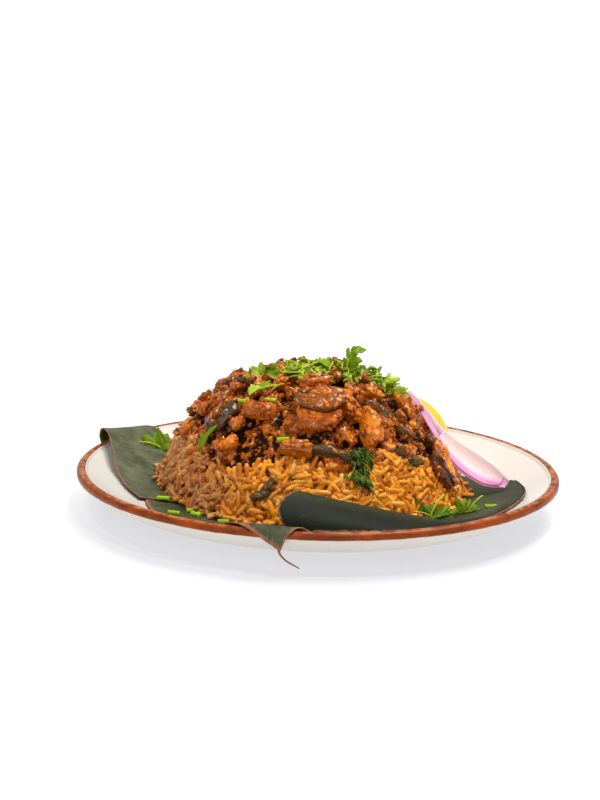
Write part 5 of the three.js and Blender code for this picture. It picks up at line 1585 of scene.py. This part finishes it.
def onion_layer(u, v, inset, raised):
    """A trough that leans on the heap; an inner layer is narrower and lies in the outer one."""
    middle = line_through(ONION_LINE, u)
    ahead = unit(line_through(ONION_LINE, u + 1e-3) - line_through(ONION_LINE, u - 1e-3))
    across_way = unit(np.array([0.1, 0.55, 0.83]))
    across = unit(across_way - ahead * np.sum(ahead * across_way, -1, keepdims=True))
    face = np.cross(ahead, across)
    wide = line_through([(k, w, 0) for k, w in enumerate(ONION_WIDE)], u)[..., 1]
    half = wide / 2 - inset
    s = 2 * v - 1
    sag = half * 0.42 * (1 - s * s) - raised
    return middle + across * (s * half)[..., None] - face * sag[..., None]


def onion_petal():
    lot = Lot()
    for inset, raised, start, stop, thick, skin in ((0, 0, 0.0, 1.0, 1.5, 1.0), (1.0, 1.15, 0.4, 0.95, 0.9, 0.0)):
        u, v = sheet(110, 34, (start, stop))
        points, faces = thin_solid(onion_layer(u, v, inset, raised), thick * mix(0.6, 1, np.sin(math.pi * v)))
        uv = np.tile(np.stack([u, v], -1).reshape(-1, 2), (2, 1))
        side = np.repeat([1.0, 0.0] if skin else [0.0, 0.0], u.size)
        lot.add(points, faces, uv, rind=side)
    return lot.mesh("onion_petal_layers", FINISH["onion"])


piece(turned_out(onion_petal()), "onion", "onion_petal")


def lemon_wedge():
    """A wedge: pored rind outside, pith under it, and two cut faces that meet at the core."""
    opening, core = math.radians(74), 0.6
    rows, spokes, deep = 60, 36, 14
    s = np.linspace(-0.992, 0.992, rows)
    tip = 1 + 0.05 * np.exp(-(((1 - np.abs(s)) / 0.05) ** 2))
    girth = LEMON_RADIUS * np.sqrt(1 - s * s) * (1 - 0.12 * s * s)
    right_face = [(opening / 2, 1 - k / deep, 0.0, float(k / deep < 0.1)) for k in range(1, deep + 1)]
    left_face = [(-opening / 2, k / deep, 0.0, float(1 - k / deep < 0.1)) for k in range(1, deep)]
    outside = [(opening * (k / spokes - 0.5), 1.0, 1.0, 0.0) for k in range(spokes + 1)]
    angle, depth, rind, pith = (np.array(c) for c in zip(*outside, *right_face, *left_face))
    reach = core + (girth[:, None] - core) * depth[None, :]
    sunk = 0.5 * np.sin(math.pi * depth)[None, :] * (rind < 0.5)[None, :]
    x = np.broadcast_to((s * LEMON_HALF * tip)[:, None], reach.shape)
    y = (reach * np.sin(angle)) - sunk * np.sign(angle)
    z = reach * np.cos(angle)
    side = np.cross(LEMON_OUT, LEMON_LONG)
    points = x[..., None] * LEMON_LONG + y[..., None] * side + z[..., None] * LEMON_OUT + LEMON_CORE
    width = len(depth)
    faces = grid(rows, width, wrap=True)
    faces += [list(range(width)), list(range((rows - 1) * width, rows * width))[::-1]]
    along = np.broadcast_to((s / 2 + 0.5)[:, None], reach.shape)
    uv = np.stack([along, np.broadcast_to(depth, reach.shape)], -1).reshape(-1, 2)
    marks = {"rind": np.tile(rind, rows), "pith": np.tile(pith, rows)}
    return turned_out(mesh_of("lemon_wedge_cut", points.reshape(-1, 3), faces, FINISH["lemon"], uv, marks))


piece(lemon_wedge(), "lemon", "lemon_wedge")


# ---- Floor, light and camera --------------------------------------------------------------

def studio():
    """A pale floor that ends white, with a painted soft shadow round the plate, a white backdrop, four lamps and
    the photograph's camera.
    """
    f = Finish("pale_floor")
    colour = f.blend((152, 152, 153), (148, 148, 149), f.cloud(300))
    reach = f.vector("LENGTH", f.vector("MULTIPLY_ADD", f.spot(), (1, 0.88, 0), (0, 0.018, 0)), out="Value")
    # Painted shadow: the floor's glow is greyer close round the plate and white further out.
    floor_glow_and_painted_shadow = f.blend((196, 196, 200), (248, 248, 248), f.step(0.112, 0.172, reach))
    floor_finish = f.done(colour, 0.9, emission_color=floor_glow_and_painted_shadow, emission_strength=1.0, specular_ior_level=0.0)
    size = 3.0
    mesh = bpy.data.meshes.new("floor")
    mesh.from_pydata([(-size, -size, 0), (size, -size, 0), (size, size, 0), (-size, size, 0)], [], [(0, 1, 2, 3)])
    mesh.materials.append(floor_finish)
    object_of(mesh)

    world = bpy.data.worlds.new("studio")
    world.use_nodes = True
    sky = Graph(world.node_tree)
    height = sky.axis(sky.node("ShaderNodeTexCoord", out="Generated"), "Z")
    backdrop = sky.node("ShaderNodeBackground", {}, {
        "Color": (1, 1, 1, 1), "Strength": sky.step(0.075, 0.16, height, 1.05, 0.36)})
    sky.node("ShaderNodeOutputWorld", {}, {"Surface": backdrop})
    bpy.context.scene.world = world
    bpy.context.scene.view_settings.view_transform = "Standard"

    for name, place, size, power in (
        ("key", (0.34, 0.16, 1.0), 0.45, 9.0),
        ("sparkle", (0.16, -0.34, 1.05), 0.03, 2.6),
        ("glint", (-0.34, -0.3, 0.95), 0.03, 1.4),
        ("front", (-0.3, -1.1, 0.8), 0.4, 2.8),
    ):
        light = bpy.data.lights.new(name, "AREA")
        light.size, light.energy = size, power
        lamp = bpy.data.objects.new(name, light)
        lamp.location = place
        lamp.rotation_euler = (Vector((0, 0, 0.04)) - Vector(place)).to_track_quat("-Z", "Y").to_euler()
        bpy.context.scene.collection.objects.link(lamp)

    camera = bpy.data.cameras.new("camera")
    camera.lens, camera.sensor_width = 67.6, 36
    eye = bpy.data.objects.new("camera", camera)
    right, up, ahead = ((0.99957122, 0.01811002, 0.0230089), (-0.02624452, 0.205646, 0.97827448),
                        (-0.01298488, 0.97845887, -0.20603311))
    turned = Matrix((right, up, [-c for c in ahead])).transposed().to_4x4()
    eye.matrix_world = Matrix.Translation(Vector(np.array([0, -823.652, 232.992]) * MM + MIDDLE)) @ turned
    bpy.context.scene.collection.objects.link(eye)
    bpy.context.scene.camera = eye


studio()
